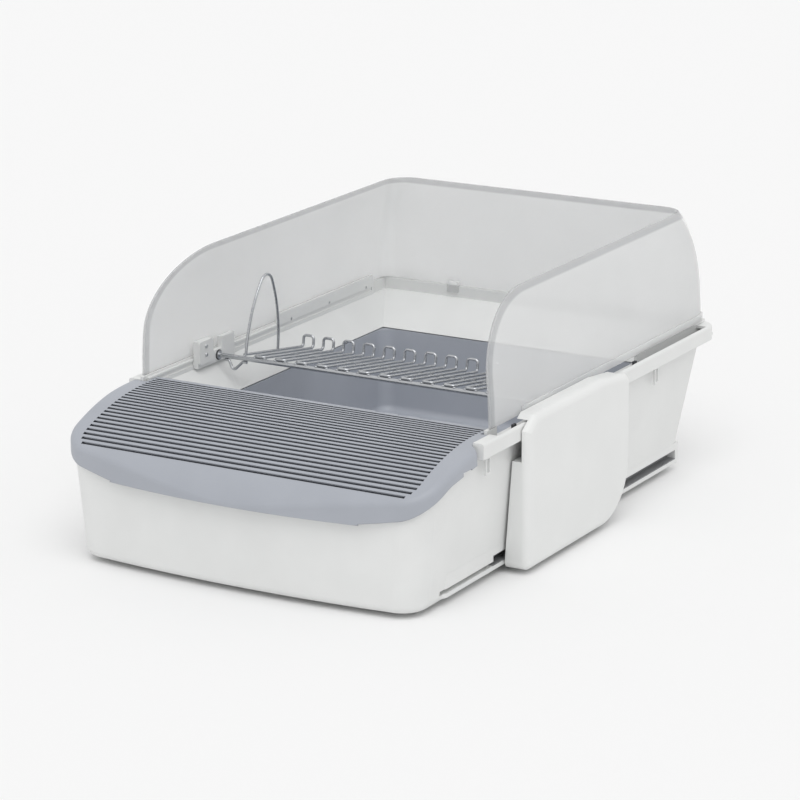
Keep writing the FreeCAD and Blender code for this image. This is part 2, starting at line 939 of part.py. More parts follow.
def clip_to_plan(s, body, inset):
    """Cut away all of a body that stands outside the pad's plan outline."""
    reach = s.overall_depth
    sketch = outline(body, "XY_Plane", [rectangle(-reach, reach, -reach, reach),
                                        pad_plan(s, inset)], s.overall_height)
    extrude(body, sketch, s.overall_height, kind="Pocket")


def make_step_pad(s):
    skin = new_body("pad_outside")
    front = s.deck_front + s.running_gap
    profile = outline(skin, "YZ_Plane", [
        [(-s.pad_rear, s.deck_top), (-s.pad_rear, s.pad_top)]
        + pad_top_line(s, sized(0), s.pad_lip)
        + [(-s.brow_low, s.pad_lip)]
        + brow_line(s, s.seat_gap)
        + [(-front, s.tub_top + s.seat_gap), (-front, s.deck_top)]])
    extrude(skin, profile, whole_width(s), middle=True)
    clip_to_plan(s, skin, sized(0))
    round_edges(skin, lambda edge: on_pad_rim(s, edge), s.pad_round)
    inside = new_body("pad_inside")
    floor = s.pad_lip - s.pad_wall
    back = s.deck_front + s.pad_stiffener
    line = pad_top_line(s, s.pad_skin, floor)
    start = (-back, pad_height(s, back) - s.pad_skin, line[0][2])
    profile = outline(inside, "YZ_Plane", [[(-back, floor), start] + line[1:]])
    extrude(inside, profile, whole_width(s), middle=True)
    clip_to_plan(s, inside, s.pad_wall)
    shell = cut("pad_shell", skin, inside)
    tools = tread_grooves(s) + rear_notches(s) + grips(s)
    return cut("step_pad", shell, fuse("pad_cuts", tools))


def on_pad_rim(s, edge):
    """True for the edges where the crowned top meets the sides and the nose."""
    if edge.BoundBox.YLength < NEAR:
        return False
    radius = s.pad_nose_radius.value
    brow = s.pad_brow_front.value
    slope = (brow - s.pad_flat.value) / pad_crown(s).value
    centre = (brow - radius * slope, s.pad_brow.value - radius * math.sqrt(1 - slope * slope))
    for share in (0.3, 0.7):
        first = edge.FirstParameter
        point = edge.valueAt(first + (edge.LastParameter - first) * share)
        place = -point.y
        rear = s.seat_front if point.x < -s.cheek_inner.value else s.pad_shoulder
        if place < rear.value:
            return False
        if place < s.pad_flat.value:
            top = s.pad_top.value
        elif place < brow:
            top = pad_height(s, sized(place)).value
        else:
            top = centre[1] + math.sqrt(max(radius ** 2 - (place - centre[0]) ** 2, 0))
        if abs(point.z - top) > NEAR / 10:
            return False
    return True


def tread_grooves(s):
    grooves = []
    count = int((s.tread_front - s.tread_rear).value / s.tread_pitch.value)
    for step in range(count):
        place = s.tread_rear + s.tread_pitch * step
        top = s.pad_top if place.value < s.pad_flat.value else pad_height(s, place)
        half = s.pad_corner_side + s.pad_corner - s.tread_inset
        inside = place - s.tread_front + s.tread_corner
        if inside.value > 0:
            half = half - s.tread_corner + root(
                s.tread_corner * s.tread_corner - inside * inside)
        grooves.append(box("groove_%d" % step, -half, half, -place - s.tread_groove / 2,
                           -place + s.tread_groove / 2, top - s.tread_depth, top + s.pad_wall))
    return grooves


def rear_notches(s):
    """Three small notches in the rear edge of the pad."""
    notches = []
    for step in (-1, 0, 1):
        middle = s.notch_middle + s.notch_pitch * step
        notches.append(box("notch_%d" % (step + 1), middle - s.notch_width / 2,
                           middle + s.notch_width / 2, -s.pad_rear - s.notch_depth,
                           -s.pad_rear + s.notch_depth, s.deck_top - s.pad_wall,
                           s.pad_top + s.pad_wall))
    return notches


def grips(s):
    """Finger notches under the sides, by which the pad is lifted."""
    low = s.brow_bend_height
    high = s.tub_top
    near = s.pad_half - s.pad_wall * 4
    return [box("grip_%d" % side, *sorted_span(s.pad_half * side, near * side),
                -s.grip_place - s.grip_width / 2, -s.grip_place + s.grip_width / 2,
                low, low + s.grip_height)
            for side in (-1, 1)]


def sorted_span(one, other):
    return (one, other) if one.value < other.value else (other, one)


# Frosted hood


def round_plan(half, front, rear, corner, height):
    """Wire of a rectangle with two round rear corners."""
    bend = corner * (1 - math.sqrt(0.5))
    start = Vector(-half, rear - corner, height)
    edges = [
        Part.LineSegment(Vector(-half, front, height), Vector(half, front, height)),
        Part.LineSegment(Vector(half, front, height), Vector(half, rear - corner, height)),
        Part.Arc(Vector(half, rear - corner, height), Vector(half - bend, rear - bend, height),
                 Vector(half - corner, rear, height)),
        Part.LineSegment(Vector(half - corner, rear, height), Vector(corner - half, rear, height)),
        Part.Arc(Vector(corner - half, rear, height), Vector(bend - half, rear - bend, height),
                 start),
        Part.LineSegment(start, Vector(-half, front, height)),
    ]
    return Part.Wire([edge.toShape() for edge in edges])


def hood_walls(s, inset, spare):
    """Loft of the hood's outer or inner faces; spare lengthens it past both open ends."""
    low = s.seat_top.value
    high = s.overall_height.value
    stations = [
        (low - spare, s.hood_half, s.hood_rear, s.hood_corner),
        (s.hood_shoulder.value, s.hood_shoulder_half, s.hood_shoulder_rear, s.hood_corner),
        (s.hood_bend.value, s.hood_bend_half, s.hood_bend_rear, s.hood_corner),
        (high + spare, s.hood_top_half, s.hood_top_rear, s.hood_top_corner),
    ]
    front = -s.hood_front.value - s.hood_top_corner.value - spare
    wires = [
        round_plan(half.value - inset, front, rear.value - inset, corner.value - inset, height)
        for height, half, rear, corner in stations]
    return Part.makeLoft(wires, True, False)


def hood_front_cut(s):
    """Everything in front of the hood's upright and elliptic front edge."""
    reach = s.overall_depth.value
    low = s.seat_top.value - s.hood_wall.value
    high = s.overall_height.value
    front = -s.hood_front.value
    brow = s.hood_brow_low.value
    depth = s.hood_brow_depth.value
    rise = high - brow
    centre = Vector(0, front + depth, brow)
    if rise > depth:
        ellipse = Part.Ellipse(centre + Vector(0, 0, rise), centre + Vector(0, -depth, 0), centre)
    else:
        ellipse = Part.Ellipse(centre + Vector(0, -depth, 0), centre + Vector(0, 0, rise), centre)
    foot = Vector(0, front, brow)
    top = Vector(0, front + depth, high)
    params = [ellipse.parameter(foot), ellipse.parameter(top)]
    if params[1] < params[0]:
        params[1] += 2 * math.pi
    curve = ellipse.toShape(params[0], params[1])
    above = Vector(0, front + depth, high + 1)
    edges = [
        Part.makeLine(Vector(0, front, low), foot), curve, Part.makeLine(top, above),
        Part.makeLine(above, Vector(0, -reach, high + 1)),
        Part.makeLine(Vector(0, -reach, high + 1), Vector(0, -reach, low)),
        Part.makeLine(Vector(0, -reach, low), Vector(0, front, low)),
    ]
    face = Part.Face(Part.Wire(Part.__sortEdges__(edges)))
    width = whole_width(s).value
    face.translate(Vector(-width / 2, 0, 0))
    return face.extrude(Vector(width, 0, 0))


def block(left, right, front, back, low, high):
    """Solid block between six places, given as plain numbers."""
    return Part.makeBox(right - left, back - front, high - low, Vector(left, front, low))


def hood_collar(s):
    """Thicker band round the lower edge, ending behind the slider's travel at the front."""
    low = s.seat_top.value
    front = -s.hood_front.value
    corner = s.hood_corner.value
    proud = s.collar_proud.value
    wall = s.hood_wall.value / 2
    outer = round_plan(s.hood_half.value + proud, front, s.hood_rear.value + proud,
                       corner + proud, low)
    inner = round_plan(s.hood_half.value - wall, front - 1, s.hood_rear.value - wall,
                       corner - wall, low)
    rise = Vector(0, 0, s.collar_height.value)
    band = Part.Face(outer).extrude(rise).cut(Part.Face(inner).extrude(rise))
    reach = whole_width(s).value
    return band.cut(block(-reach, reach, front - reach, -s.collar_front.value, low - 1,
                          low + rise.z + 1))


def hood_tabs(s):
    """Tabs that stand inside the frame's seat wall, and two catches that hook over the rear."""
    low = s.tab_low.value
    mid = s.seat_top.value
    high = mid + s.collar_height.value - s.hood_wall.value
    half = s.tab_width.value / 2
    near = s.seat_outer.value - s.seat_wall.value - s.running_gap.value
    rear = s.seat_rear.value - s.seat_wall.value - s.running_gap.value
    thick = s.tab_thickness.value
    side = s.tab_side.value
    outer = s.hood_half.value - s.hood_wall.value / 2
    back = s.hood_rear.value - s.hood_wall.value / 2
    pieces = [
        block(near - thick, near, side - half, side + half, low, high),
        block(near - thick, outer, side - half, side + half, mid, high),
    ]
    for place in (-s.tab_rear_side.value, s.tab_rear_side.value):
        pieces.append(block(place - half, place + half, rear - thick, rear, low, high))
        pieces.append(block(place - half, place + half, rear - thick, back, mid, high))
    catch = s.catch_width.value / 2
    for place in (-s.catch_side.value, s.catch_side.value):
        pieces.append(block(place - catch, place + catch, back, s.catch_rear.value, mid, high))
        pieces.append(block(place - catch, place + catch, s.rim_rear.value + s.running_gap.value,
                            s.catch_rear.value, low, high))
    return pieces


def make_hood(s):
    shell = hood_walls(s, 0, 0).cut(hood_walls(s, s.hood_wall.value, 1))
    hood = shell.fuse([hood_collar(s)] + hood_tabs(s)).removeSplitter()
    return feature("hood", hood.cut(hood_front_cut(s)))


# Left rail and carriage


def make_left_rail(s):
    wall = -s.seat_outer + s.seat_wall
    face = wall + s.rail_wall
    body = new_body("left_rail")
    profile = outline(body, "YZ_Plane", [[
        (-s.rail_front, s.deck_top),
        (s.rail_rear, s.deck_top),
        (s.rail_rear, s.rail_high_top),
        (s.rail_step, s.rail_high_top),
        (s.rail_step - s.rail_wall, s.rail_top),
        (-s.rail_front, s.rail_top),
    ]], wall)
    extrude(body, profile, s.rail_wall)
    groove = outline(body, "YZ_Plane", [rectangle(
        -s.rail_front + s.rail_wall, s.rail_rear - s.rail_wall, s.groove_low, s.groove_top)], face)
    extrude(body, groove, s.groove_depth, kind="Pocket")
    holes = outline(body, "YZ_Plane", [
        disc(place, s.rail_screw_height, s.rail_screw_radius + s.fit_gap)
        for place in rail_screw_places(s)], face)
    extrude(body, holes, s.rail_wall, kind="Pocket")
    sinks = outline(body, "YZ_Plane", [
        disc(place, s.rail_screw_height, s.rail_screw_head_radius + s.fit_gap)
        for place in rail_screw_places(s)], face)
    extrude(body, sinks, s.screw_head, kind="Pocket")
    return body


def screw(name, axis, head_start, head, shank, flip, place):
    """Screw along x or z: head = (radius, length), shank = (radius, length)."""
    head_radius, head_length = head
    shank_radius, shank_length = shank
    if flip:
        head_from, shank_from = head_start, head_start - shank_length
    else:
        head_from, shank_from = head_start - head_length, head_start
    spots = []
    for start in (head_from, shank_from):
        spots.append((start, *place) if axis == "x" else (*place, start))
    return fuse(name, [
        rod(name + "_head", axis, head_radius, spots[0], head_length),
        rod(name + "_shank", axis, shank_radius, spots[1], shank_length),
    ])


def make_rail_screws(s):
    face = -s.seat_outer + s.seat_wall + s.rail_wall
    seat = face - s.screw_head
    return group("rail_screws", [
        screw("rail_screw_%d" % index, "x", seat, (s.rail_screw_head_radius, s.screw_head),
              (s.rail_screw_radius, s.rail_wall - s.screw_head + s.seat_wall - s.fit_gap), True,
              (place, s.rail_screw_height))
        for index, place in enumerate(rail_screw_places(s))])


def make_left_carriage(s):
    face = -s.seat_outer + s.seat_wall + s.rail_wall + s.running_gap
    inner = -s.left_carriage_inner
    front = -s.left_carriage_front
    rear = -s.left_carriage_rear
    floor = s.deck_top + s.left_carriage_lift
    slim = s.running_gap
    base = box("left_carriage_base", face, inner, front, rear, floor, s.left_carriage_top)
    tower = box("left_carriage_tower", face, inner, -s.block_front, rear, floor, s.block_top)
    boss = box("left_carriage_boss", face, inner, front, -s.plate_rear, floor, s.plate_top)
    tongue = box("left_carriage_tongue", face - s.groove_depth, face, front, rear,
                 s.groove_low + slim, s.groove_top - slim)
    solid = fuse("left_carriage_solid", [base, tower, boss, tongue])
    bore = rod("left_carriage_bore", "x", s.bush_radius + s.fit_gap,
               (face, -s.shaft_place, s.shaft_height), inner - face)
    tools = [bore]
    for index, height in enumerate((s.plate_screw_low, s.plate_screw_high)):
        tools.append(rod("left_carriage_hole_%d" % index, "x", s.screw_radius + s.fit_gap,
                         (face, -s.plate_screw_front, height), inner - face))
    return cut("left_carriage", solid, fuse("left_carriage_cuts", tools))


def make_left_end_plate(s):
    body = new_body("left_end_plate")
    loop = rounded(-s.plate_front, -s.plate_rear, s.plate_low, s.plate_top, s.plate_round)
    holes = [disc(-s.plate_screw_front, height, s.screw_radius + s.fit_gap)
             for height in (s.plate_screw_low, s.plate_screw_high)]
    sketch = outline(body, "YZ_Plane", [loop] + holes, -s.left_carriage_inner)
    extrude(body, sketch, s.plate_thickness)
    return body


def make_plate_screws(s):
    face = -s.left_carriage_inner + s.plate_thickness
    depth = s.left_carriage_inner - (s.seat_outer - s.seat_wall - s.rail_wall)
    return group("plate_screws", [
        screw("plate_screw_%d" % index, "x", face, (s.screw_head_radius, s.screw_head),
              (s.screw_radius, s.plate_thickness - depth - s.running_gap * 2), True,
              (-s.plate_screw_front, height))
        for index, height in enumerate((s.plate_screw_low, s.plate_screw_high))])


# Rake


def shaft_bush(s, name, start, length):
    spot = (start, -s.shaft_place, s.shaft_height)
    return cut(name, rod(name + "_outside", "x", s.bush_radius, spot, length),
               rod(name + "_bore", "x", s.shaft_radius + s.fit_gap, spot, length))


def make_left_bush(s):
    face = -s.seat_outer + s.seat_wall + s.rail_wall + s.running_gap
    return shaft_bush(s, "left_bush", face, -s.left_carriage_inner - face)


def make_right_bush(s):
    return shaft_bush(s, "right_bush", s.right_carriage_inner,
                      s.right_carriage_end - s.right_carriage_inner)


def make_friction_washers(s):
    washers = []
    for name, start in (("left", -s.left_carriage_inner),
                        ("right", s.right_carriage_inner - s.washer_thickness)):
        spot = (start, -s.shaft_place, s.shaft_height)
        washers.append(cut(
            "washer_" + name,
            rod("washer_outside_" + name, "x", s.washer_radius, spot, s.washer_thickness),
            rod("washer_bore_" + name, "x", s.shaft_radius + s.fit_gap, spot,
                s.washer_thickness)))
    return group("friction_washers", washers)


def make_shaft_rings(s):
    rings = []
    gap = s.washer_thickness + s.fit_gap
    for name, start in (("left", -s.left_carriage_inner + gap),
                        ("right", s.right_carriage_inner - gap - s.ring_thickness)):
        spot = (start, -s.shaft_place, s.shaft_height)
        rings.append(cut(
            "ring_" + name,
            rod("ring_outside_" + name, "x", s.ring_radius, spot, s.ring_thickness),
            rod("ring_bore_" + name, "x", s.shaft_radius, spot, s.ring_thickness)))
    return group("shaft_rings", rings)


def make_comb_shaft(s):
    body = new_body("comb_shaft")
    section = outline(body, "YZ_Plane", [disc(-s.shaft_place, s.shaft_height, s.shaft_radius)],
                      -s.shaft_left)
    extrude(body, section, s.shaft_left + s.shaft_right)
    return body


def rake_place(s):
    """Placement of the rake: its own Y runs along the fingers, its Z away from them."""
    spot = Vector(0, -s.shaft_place.value, s.shaft_height.value)
    return Placement(spot, Rotation(Vector(1, 0, 0), -s.finger_droop.value))


def finger_level(s):
    """Height of the fingers' centre line above the shaft's axis."""
    return s.shaft_radius.value + s.wire_radius.value + s.weld_gap.value


def bent_path(points, bend):
    """Straight runs joined by arcs of one radius at every inner point."""
    edges = []
    start = points[0]
    for before, corner, after in zip(points, points[1:], points[2:]):
        inward = (before - corner).normalize()
        onward = (after - corner).normalize()
        turn = math.pi - inward.getAngle(onward)
        reach = bend * math.tan(turn / 2)
        first = corner + inward * reach
        last = corner + onward * reach
        middle = (inward + onward).normalize()
        depth = bend / math.cos(turn / 2) - bend
        edges.append(Part.LineSegment(start, first).toShape())
        edges.append(Part.Arc(first, corner + middle * depth, last).toShape())
        start = last
    edges.append(Part.LineSegment(start, points[-1]).toShape())
    return Part.Wire(edges)


def wire_along(path, radius):
    """Round wire along a path of lines and arcs."""
    first = path.Edges[0]
    start = first.valueAt(first.FirstParameter)
    way = first.tangentAt(first.FirstParameter)
    ring = Part.Wire(Part.makeCircle(radius, start, way))
    wire = path.makePipeShell([ring], True, False)
    return wire


def make_comb_fingers(s):
    pitch = s.wire_pitch.value
    count = int(s.wire_count.value)
    tip = s.finger_length.value
    level = finger_level(s)
    top = level + s.loop_rise.value
    start = -pitch * (count - 1) / 2
    points = []
    for index in range(count):
        across = start + pitch * index
        outward = [Vector(across, 0, level), Vector(across, tip, level), Vector(across, tip, top)]
        points += outward if index % 2 == 0 else outward[::-1]
    wire = wire_along(bent_path(points, s.wire_bend.value), s.wire_radius.value)
    return feature("comb_fingers", wire, rake_place(s))


def make_comb_cross_wire(s):
    half = s.wire_pitch * (s.wire_count - 1) / 2
    level = finger_level(s) - s.wire_radius.value * 2 - s.weld_gap.value
    bar = Part.makeCylinder(s.wire_radius.value, half.value * 2,
                            Vector(-half.value, s.cross_place.value, level), Vector(1, 0, 0))
    return feature("comb_cross_wire", bar, rake_place(s))


def make_guard_hoop(s):
    """Arch over the leftmost finger: two long arcs and a small crown between them."""
    side = -(s.wire_pitch * (s.wire_count - 1) / 2).value
    foot = finger_level(s) + s.wire_radius.value + s.weld_gap.value
    half = (s.hoop_rear - s.hoop_front).value / 2
    middle = (s.hoop_rear + s.hoop_front).value / 2
    rise = s.hoop_rise.value
    crown = s.hoop_crown.value
    high = rise - crown
    flank = (half ** 2 + high ** 2 - crown ** 2) / (2 * (half - crown))
    turn = math.asin(high / (flank - crown))

    def spot(way, angle, radius, centre):
        return Vector(side, middle + way * (centre + radius * math.cos(angle)),
                      foot + radius * math.sin(angle))

    def flank_arc(way):
        return [spot(way, angle, flank, half - flank) for angle in (0, turn / 2, turn)]

    front = flank_arc(-1)
    rear = flank_arc(1)
    top = Vector(side, middle, foot + rise)
    path = Part.Wire([
        Part.Arc(front[0], front[1], front[2]).toShape(),
        Part.Arc(front[2], top, rear[2]).toShape(),
        Part.Arc(rear[2], rear[1], rear[0]).toShape(),
    ])
    return feature("guard_hoop", wire_along(path, s.wire_radius.value), rake_place(s))


def make_crank_wire(s):
    """Bent wire welded under the left end of the shaft."""
    level = -finger_level(s)
    left = -s.crank_left.value
    right = -s.crank_right.value
    foot = s.crank_foot.value
    bottom = Vector((left * 2 + right) / 3, 0, level - s.crank_drop.value)
    points = [Vector(left - foot, 0, level), Vector(left, 0, level), bottom,
              Vector(right, 0, level), Vector(right + foot, 0, level)]
    wire = wire_along(bent_path(points, s.wire_bend.value), s.wire_radius.value)
    return feature("crank_wire", wire, rake_place(s))


# Slider on the right


def make_right_carriage(s):
    front = -s.right_carriage_front
    rear = -s.right_carriage_rear
    base = box("right_carriage_base", s.right_carriage_inner, s.right_carriage_outer, front, rear,
               s.sill_top + s.running_gap, s.seat_top - s.seat_gap)
    keel = box("right_carriage_keel", s.seat_outer + s.running_gap, s.right_carriage_outer, front,
               rear, keel_floor(s), s.sill_top + s.running_gap)
    solid = fuse("right_carriage_solid", [base, keel])
    tools = [rod("right_carriage_bore", "x", s.bush_radius + s.fit_gap,
                 (s.right_carriage_inner, -s.shaft_place, s.shaft_height),
                 s.right_carriage_end - s.right_carriage_inner)]
    for index, place in enumerate((-s.carriage_screw_front, -s.carriage_screw_rear)):
        tools.append(rod("right_carriage_hole_%d" % index, "x", s.screw_radius + s.fit_gap,
                         (s.carriage_screw_end, place, s.shaft_height),
                         s.right_carriage_outer - s.carriage_screw_end))
    return cut("right_carriage", solid, fuse("right_carriage_cuts", tools))


def keel_floor(s):
    return s.deck_top + s.channel_strip_thickness + s.running_gap


def make_slider_bracket(s):
    front = -s.bracket_front
    rear = -s.bracket_rear
    inner = s.right_carriage_outer
    web = box("bracket_web", inner, inner + s.bracket_wall, front, rear, keel_floor(s),
              s.bridge_low)
    arm = box("bracket_arm", inner, s.bracket_reach, front, rear, s.rim_top + s.running_gap,
              s.bridge_low)
    solid = fuse("bracket_solid", [web, arm])
    tools = []
    for index, place in enumerate((-s.carriage_screw_front, -s.carriage_screw_rear)):
        tools.append(rod("bracket_hole_%d" % index, "x", s.screw_radius + s.fit_gap,
                         (inner, place, s.shaft_height), s.bracket_wall))
    for index, place in enumerate((-s.panel_screw_front, -s.panel_screw_rear)):
        tools.append(rod("bracket_eye_%d" % index, "z", s.screw_radius + s.fit_gap,
                         (s.panel_screw_side, place, s.rim_top), s.bridge_low - s.rim_top))
    return cut("slider_bracket", solid, fuse("bracket_cuts", tools))


def make_carriage_screws(s):
    face = s.right_carriage_outer + s.bracket_wall
    return group("carriage_screws", [
        screw("carriage_screw_%d" % index, "x", face, (s.screw_head_radius, s.screw_head),
              (s.screw_radius, face - s.carriage_screw_end), True,
              (place, s.shaft_height))
        for index, place in enumerate((-s.carriage_screw_front, -s.carriage_screw_rear))])


def make_panel_screws(s):
    return group("panel_screws", [
        screw("panel_screw_%d" % index, "z", s.rim_top + s.running_gap,
              (s.screw_head_radius, s.screw_head),
              (s.screw_radius, s.bridge_low - s.rim_top - s.running_gap + s.panel_screw_depth),
              False, (s.panel_screw_side, place))
        for index, place in enumerate((-s.panel_screw_front, -s.panel_screw_rear))])


def panel_side(s, inset):
    """Side view of the slider panel: sloped top corners, wide rear heel, small front toe."""
    front = -s.panel_front + inset
    rear = s.panel_rear - inset
    low = s.panel_low + inset
    top = s.panel_top - inset
    heel = s.panel_heel - inset
    toe = s.panel_toe - inset / 2
    shoulder = s.panel_rear - s.panel_rear_slope
    return [
        (front + toe, low),
        (rear - heel, low, heel),
        (rear, low + heel),
        (rear, top - s.panel_rear_drop - s.panel_rear_corner),
        (rear - s.panel_rear_corner, top - s.panel_rear_drop),
        (shoulder, top),
        (front + s.panel_front_slope, top),
        (front, top - s.panel_front_drop),
        (front, low + toe, toe),
    ]


def make_slider_panel(s):
    outer = s.rim_half + s.handle_proud
    skin = new_body("panel_outside")
    side = outline(skin, "YZ_Plane", [panel_side(s, sized(0))], s.panel_inner)
    extrude(skin, side, outer - s.panel_inner)
    round_edges(skin, lambda edge: edge.BoundBox.XLength < 0.01
                and abs(edge.BoundBox.XMin - outer.value) < 0.01, s.panel_round)
    clear = s.rim_half + s.seat_gap * 2
    left = s.panel_inner - s.panel_wall
    inner = outline(skin, "XZ_Plane", [[
        (left, s.panel_low - s.panel_wall),
        (s.panel_inner, s.panel_low - s.panel_wall),
        (s.panel_step_inner, s.panel_step),
        (clear, s.panel_step),
        (clear, s.bridge_low),
        (s.right_carriage_outer, s.bridge_low),
        (s.right_carriage_outer, s.panel_top + s.panel_wall),
        (left, s.panel_top + s.panel_wall),
    ]])
    extrude(skin, inner, s.overall_depth, kind="Pocket", middle=True)
    hollow_side = panel_side(s, s.panel_rim)
    cavity = outline(skin, "YZ_Plane", [hollow_side], outer - s.panel_wall)
    extrude(skin, cavity, outer - s.panel_wall - clear, kind="Pocket")
    low_side = lower_cavity(s)
    cavity = outline(skin, "YZ_Plane", [low_side], outer - s.panel_wall)
    extrude(skin, cavity, outer - s.panel_wall - s.panel_inner + s.panel_wall, kind="Pocket")
    holes = [disc(s.panel_screw_side, -s.panel_screw_front, s.screw_radius + s.fit_gap),
             disc(s.panel_screw_side, -s.panel_screw_rear, s.screw_radius + s.fit_gap)]
    sketch = outline(skin, "XY_Plane", holes, s.bridge_low)
    extrude(skin, sketch, s.panel_screw_depth, kind="Pocket", flip=True)
    skin.Label = "slider_panel"
    return skin


def lower_cavity(s):
    """Hollow below the step, open towards the tub."""
    toe, heel, rear = panel_side(s, s.panel_rim)[:3]
    front = panel_side(s, s.panel_rim)[-1]
    top = s.panel_step - s.panel_rim
    return [toe, heel, rear, (rear[0], top), (front[0], top), front]


def make_lower_shoe(s):
    body = new_body("lower_shoe")
    inner = s.guide_face - s.slot_depth + s.strip_thickness + s.running_gap
    outer = s.rim_half + s.handle_proud - s.panel_wall
    low = s.slot_low + s.strip_floor + s.running_gap
    plate(body, low, s.slot_top - s.seat_gap, [rectangle(
        inner, outer, -s.shoe_front, s.shoe_rear)])
    round_edges(body, lambda edge: edge.BoundBox.ZLength > NEAR
                and edge.BoundBox.XMax < inner.value + NEAR, s.shoe_round)
    return body


MAKERS = (
    make_base_tub, make_tub_feet, make_litter_pan, make_waste_bin, make_guide_strip,
    make_upper_frame, make_frame_clips, make_channel_strip, make_travel_stops, make_step_pad,
    make_hood, make_left_rail, make_rail_screws, make_left_carriage, make_left_end_plate,
    make_plate_screws, make_left_bush, make_right_bush, make_friction_washers, make_shaft_rings,
    make_comb_shaft, make_comb_fingers, make_comb_cross_wire, make_guard_hoop, make_crank_wire,
    make_right_carriage, make_slider_bracket, make_carriage_screws, make_slider_panel,
    make_panel_screws, make_lower_shoe,
)


def main():
    global DOC
    DOC = FreeCAD.newDocument("litter_box")
    s = Dimensions(make_sheet(DOC))
    nodes = [maker(s) for maker in MAKERS]
    shift = s.handle_proud / 2
    for node in nodes:
        node.setExpression("Placement.Base.x", (-shift).text)
    DOC.recompute()
    os.makedirs("parts", exist_ok=True)
    for item in DOC.Objects:
        if "Invalid" in item.State or "Error" in item.State:
            raise RuntimeError("%s is not valid: %s" % (item.Label, item.State))
    for node in nodes:
        shape = node.Shape
        if shape.isNull() or not shape.isValid():
            raise RuntimeError("%s has no valid shape" % node.Label)
        shape.exportStep("parts/%s.step" % node.Label)
        print(node.Label, len(shape.Solids), round(shape.Volume))


main()
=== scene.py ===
import json
import logging
import math
from dataclasses import dataclass
from enum import Enum
from typing import Any, Callable, Optional

import bpy
from mathutils import Matrix, Vector


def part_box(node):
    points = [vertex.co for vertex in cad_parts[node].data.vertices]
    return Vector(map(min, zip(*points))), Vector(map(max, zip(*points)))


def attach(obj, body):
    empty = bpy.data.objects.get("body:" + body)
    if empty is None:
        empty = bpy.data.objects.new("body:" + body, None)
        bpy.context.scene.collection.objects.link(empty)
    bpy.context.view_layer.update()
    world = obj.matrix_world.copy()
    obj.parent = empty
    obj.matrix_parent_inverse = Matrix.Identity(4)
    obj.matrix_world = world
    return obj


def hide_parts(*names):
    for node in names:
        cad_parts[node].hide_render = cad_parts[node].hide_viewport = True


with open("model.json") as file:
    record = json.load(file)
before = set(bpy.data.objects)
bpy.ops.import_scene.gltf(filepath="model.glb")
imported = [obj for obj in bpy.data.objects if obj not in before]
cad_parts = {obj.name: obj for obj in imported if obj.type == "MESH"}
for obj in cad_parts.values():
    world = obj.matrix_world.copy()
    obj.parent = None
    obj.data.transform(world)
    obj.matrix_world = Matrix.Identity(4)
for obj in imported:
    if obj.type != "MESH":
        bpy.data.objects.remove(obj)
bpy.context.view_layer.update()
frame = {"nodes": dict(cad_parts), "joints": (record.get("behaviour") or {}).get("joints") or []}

# Looks of a hand-operated sifting litter box, in metres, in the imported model's own frame.
# X points to the handle's side, Y from the step to the rear, Z up.

LOG = logging.getLogger("litter_box")
MM = 0.001
# Noise seldom leaves this range, so a finish spreads its values over it.
NOISE_LOW = 0.3
NOISE_HIGH = 0.7
BEVEL_SAMPLES = 6
# Turn of a screw's recess, in degrees: the first one's and the step to the next.
FIRST_TURN = 17
TURN_STEP = 31


class Body(Enum):
    """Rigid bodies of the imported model."""

    ROOT = "root"
    PAD = "pad"
    HOOD = "hood"
    SLIDER = "slider"
    COMB = "comb"


class Slot(Enum):
    """Material slots of the record that new pieces take."""

    RUBBER = "rubber_grey"
    STEEL = "bright_steel"
    WIRE = "chromed_wire"


class Element(Enum):
    """Kinds of mesh element that can be selected, by Blender's names."""

    EDGE = "EDGE"
    FACE = "FACE"


# Colours and node helper


def linear(code: str) -> tuple[float, float, float, float]:
    """Turn an sRGB hex code into linear colour.

    Args:
        code: Colour as "#rrggbb".

    Returns:
        Linear red, green, blue and full alpha.
    """
    parts = [int(code[start:start + 2], 16) / 255 for start in (1, 3, 5)]
    lit = [part / 12.92 if part <= 0.04045 else ((part + 0.055) / 1.055) ** 2.4 for part in parts]
    return (lit[0], lit[1], lit[2], 1.0)


def add_node(tree: bpy.types.NodeTree, kind: str, inputs: Optional[dict[Any, Any]] = None,
             **settings: Any) -> bpy.types.Node:
    """Add a node with its settings, values and links.

    Args:
        tree: Node tree that gets the node.
        kind: Blender's name of the node type.
        inputs: Input name or index, with a constant or an output socket to link.
        settings: Properties set on the node itself.

    Returns:
        The new node.
    """
    node = tree.nodes.new(kind)
    for name, value in settings.items():
        setattr(node, name, value)
    for name, value in (inputs or {}).items():
        if isinstance(value, bpy.types.NodeSocket):
            tree.links.new(value, node.inputs[name])
        else:
            node.inputs[name].default_value = value
    return node


def empty_material(name: str) -> tuple[bpy.types.Material, bpy.types.NodeTree]:
    """Make a material with an empty node tree.

    Args:
        name: Name of the material.

    Returns:
        The material and its node tree.
    """
    material = bpy.data.materials.new(name)
    material.use_nodes = True
    material.node_tree.nodes.clear()
    return material, material.node_tree


def noise(tree: bpy.types.NodeTree, size: float, detail: float = 2.0,
          stretch: tuple[float, float, float] = (1, 1, 1)) -> bpy.types.NodeSocket:
    """Noise whose grains have a real size.

    Args:
        tree: Node tree of the material.
        size: Size of a grain in metres.
        detail: Octaves of finer noise.
        stretch: Share of the grain's rate along each axis; below 1 draws it out.

    Returns:
        The noise value's socket, about 0.3 to 0.7.
    """
    place = add_node(tree, "ShaderNodeTexCoord")
    turn = add_node(tree, "ShaderNodeMapping", {"Vector": place.outputs["Object"],
                                                "Scale": stretch})
    grain = add_node(tree, "ShaderNodeTexNoise", {
        "Vector": turn.outputs["Vector"], "Scale": 1 / size, "Detail": detail})
    return grain.outputs["Fac"]


# Finishes


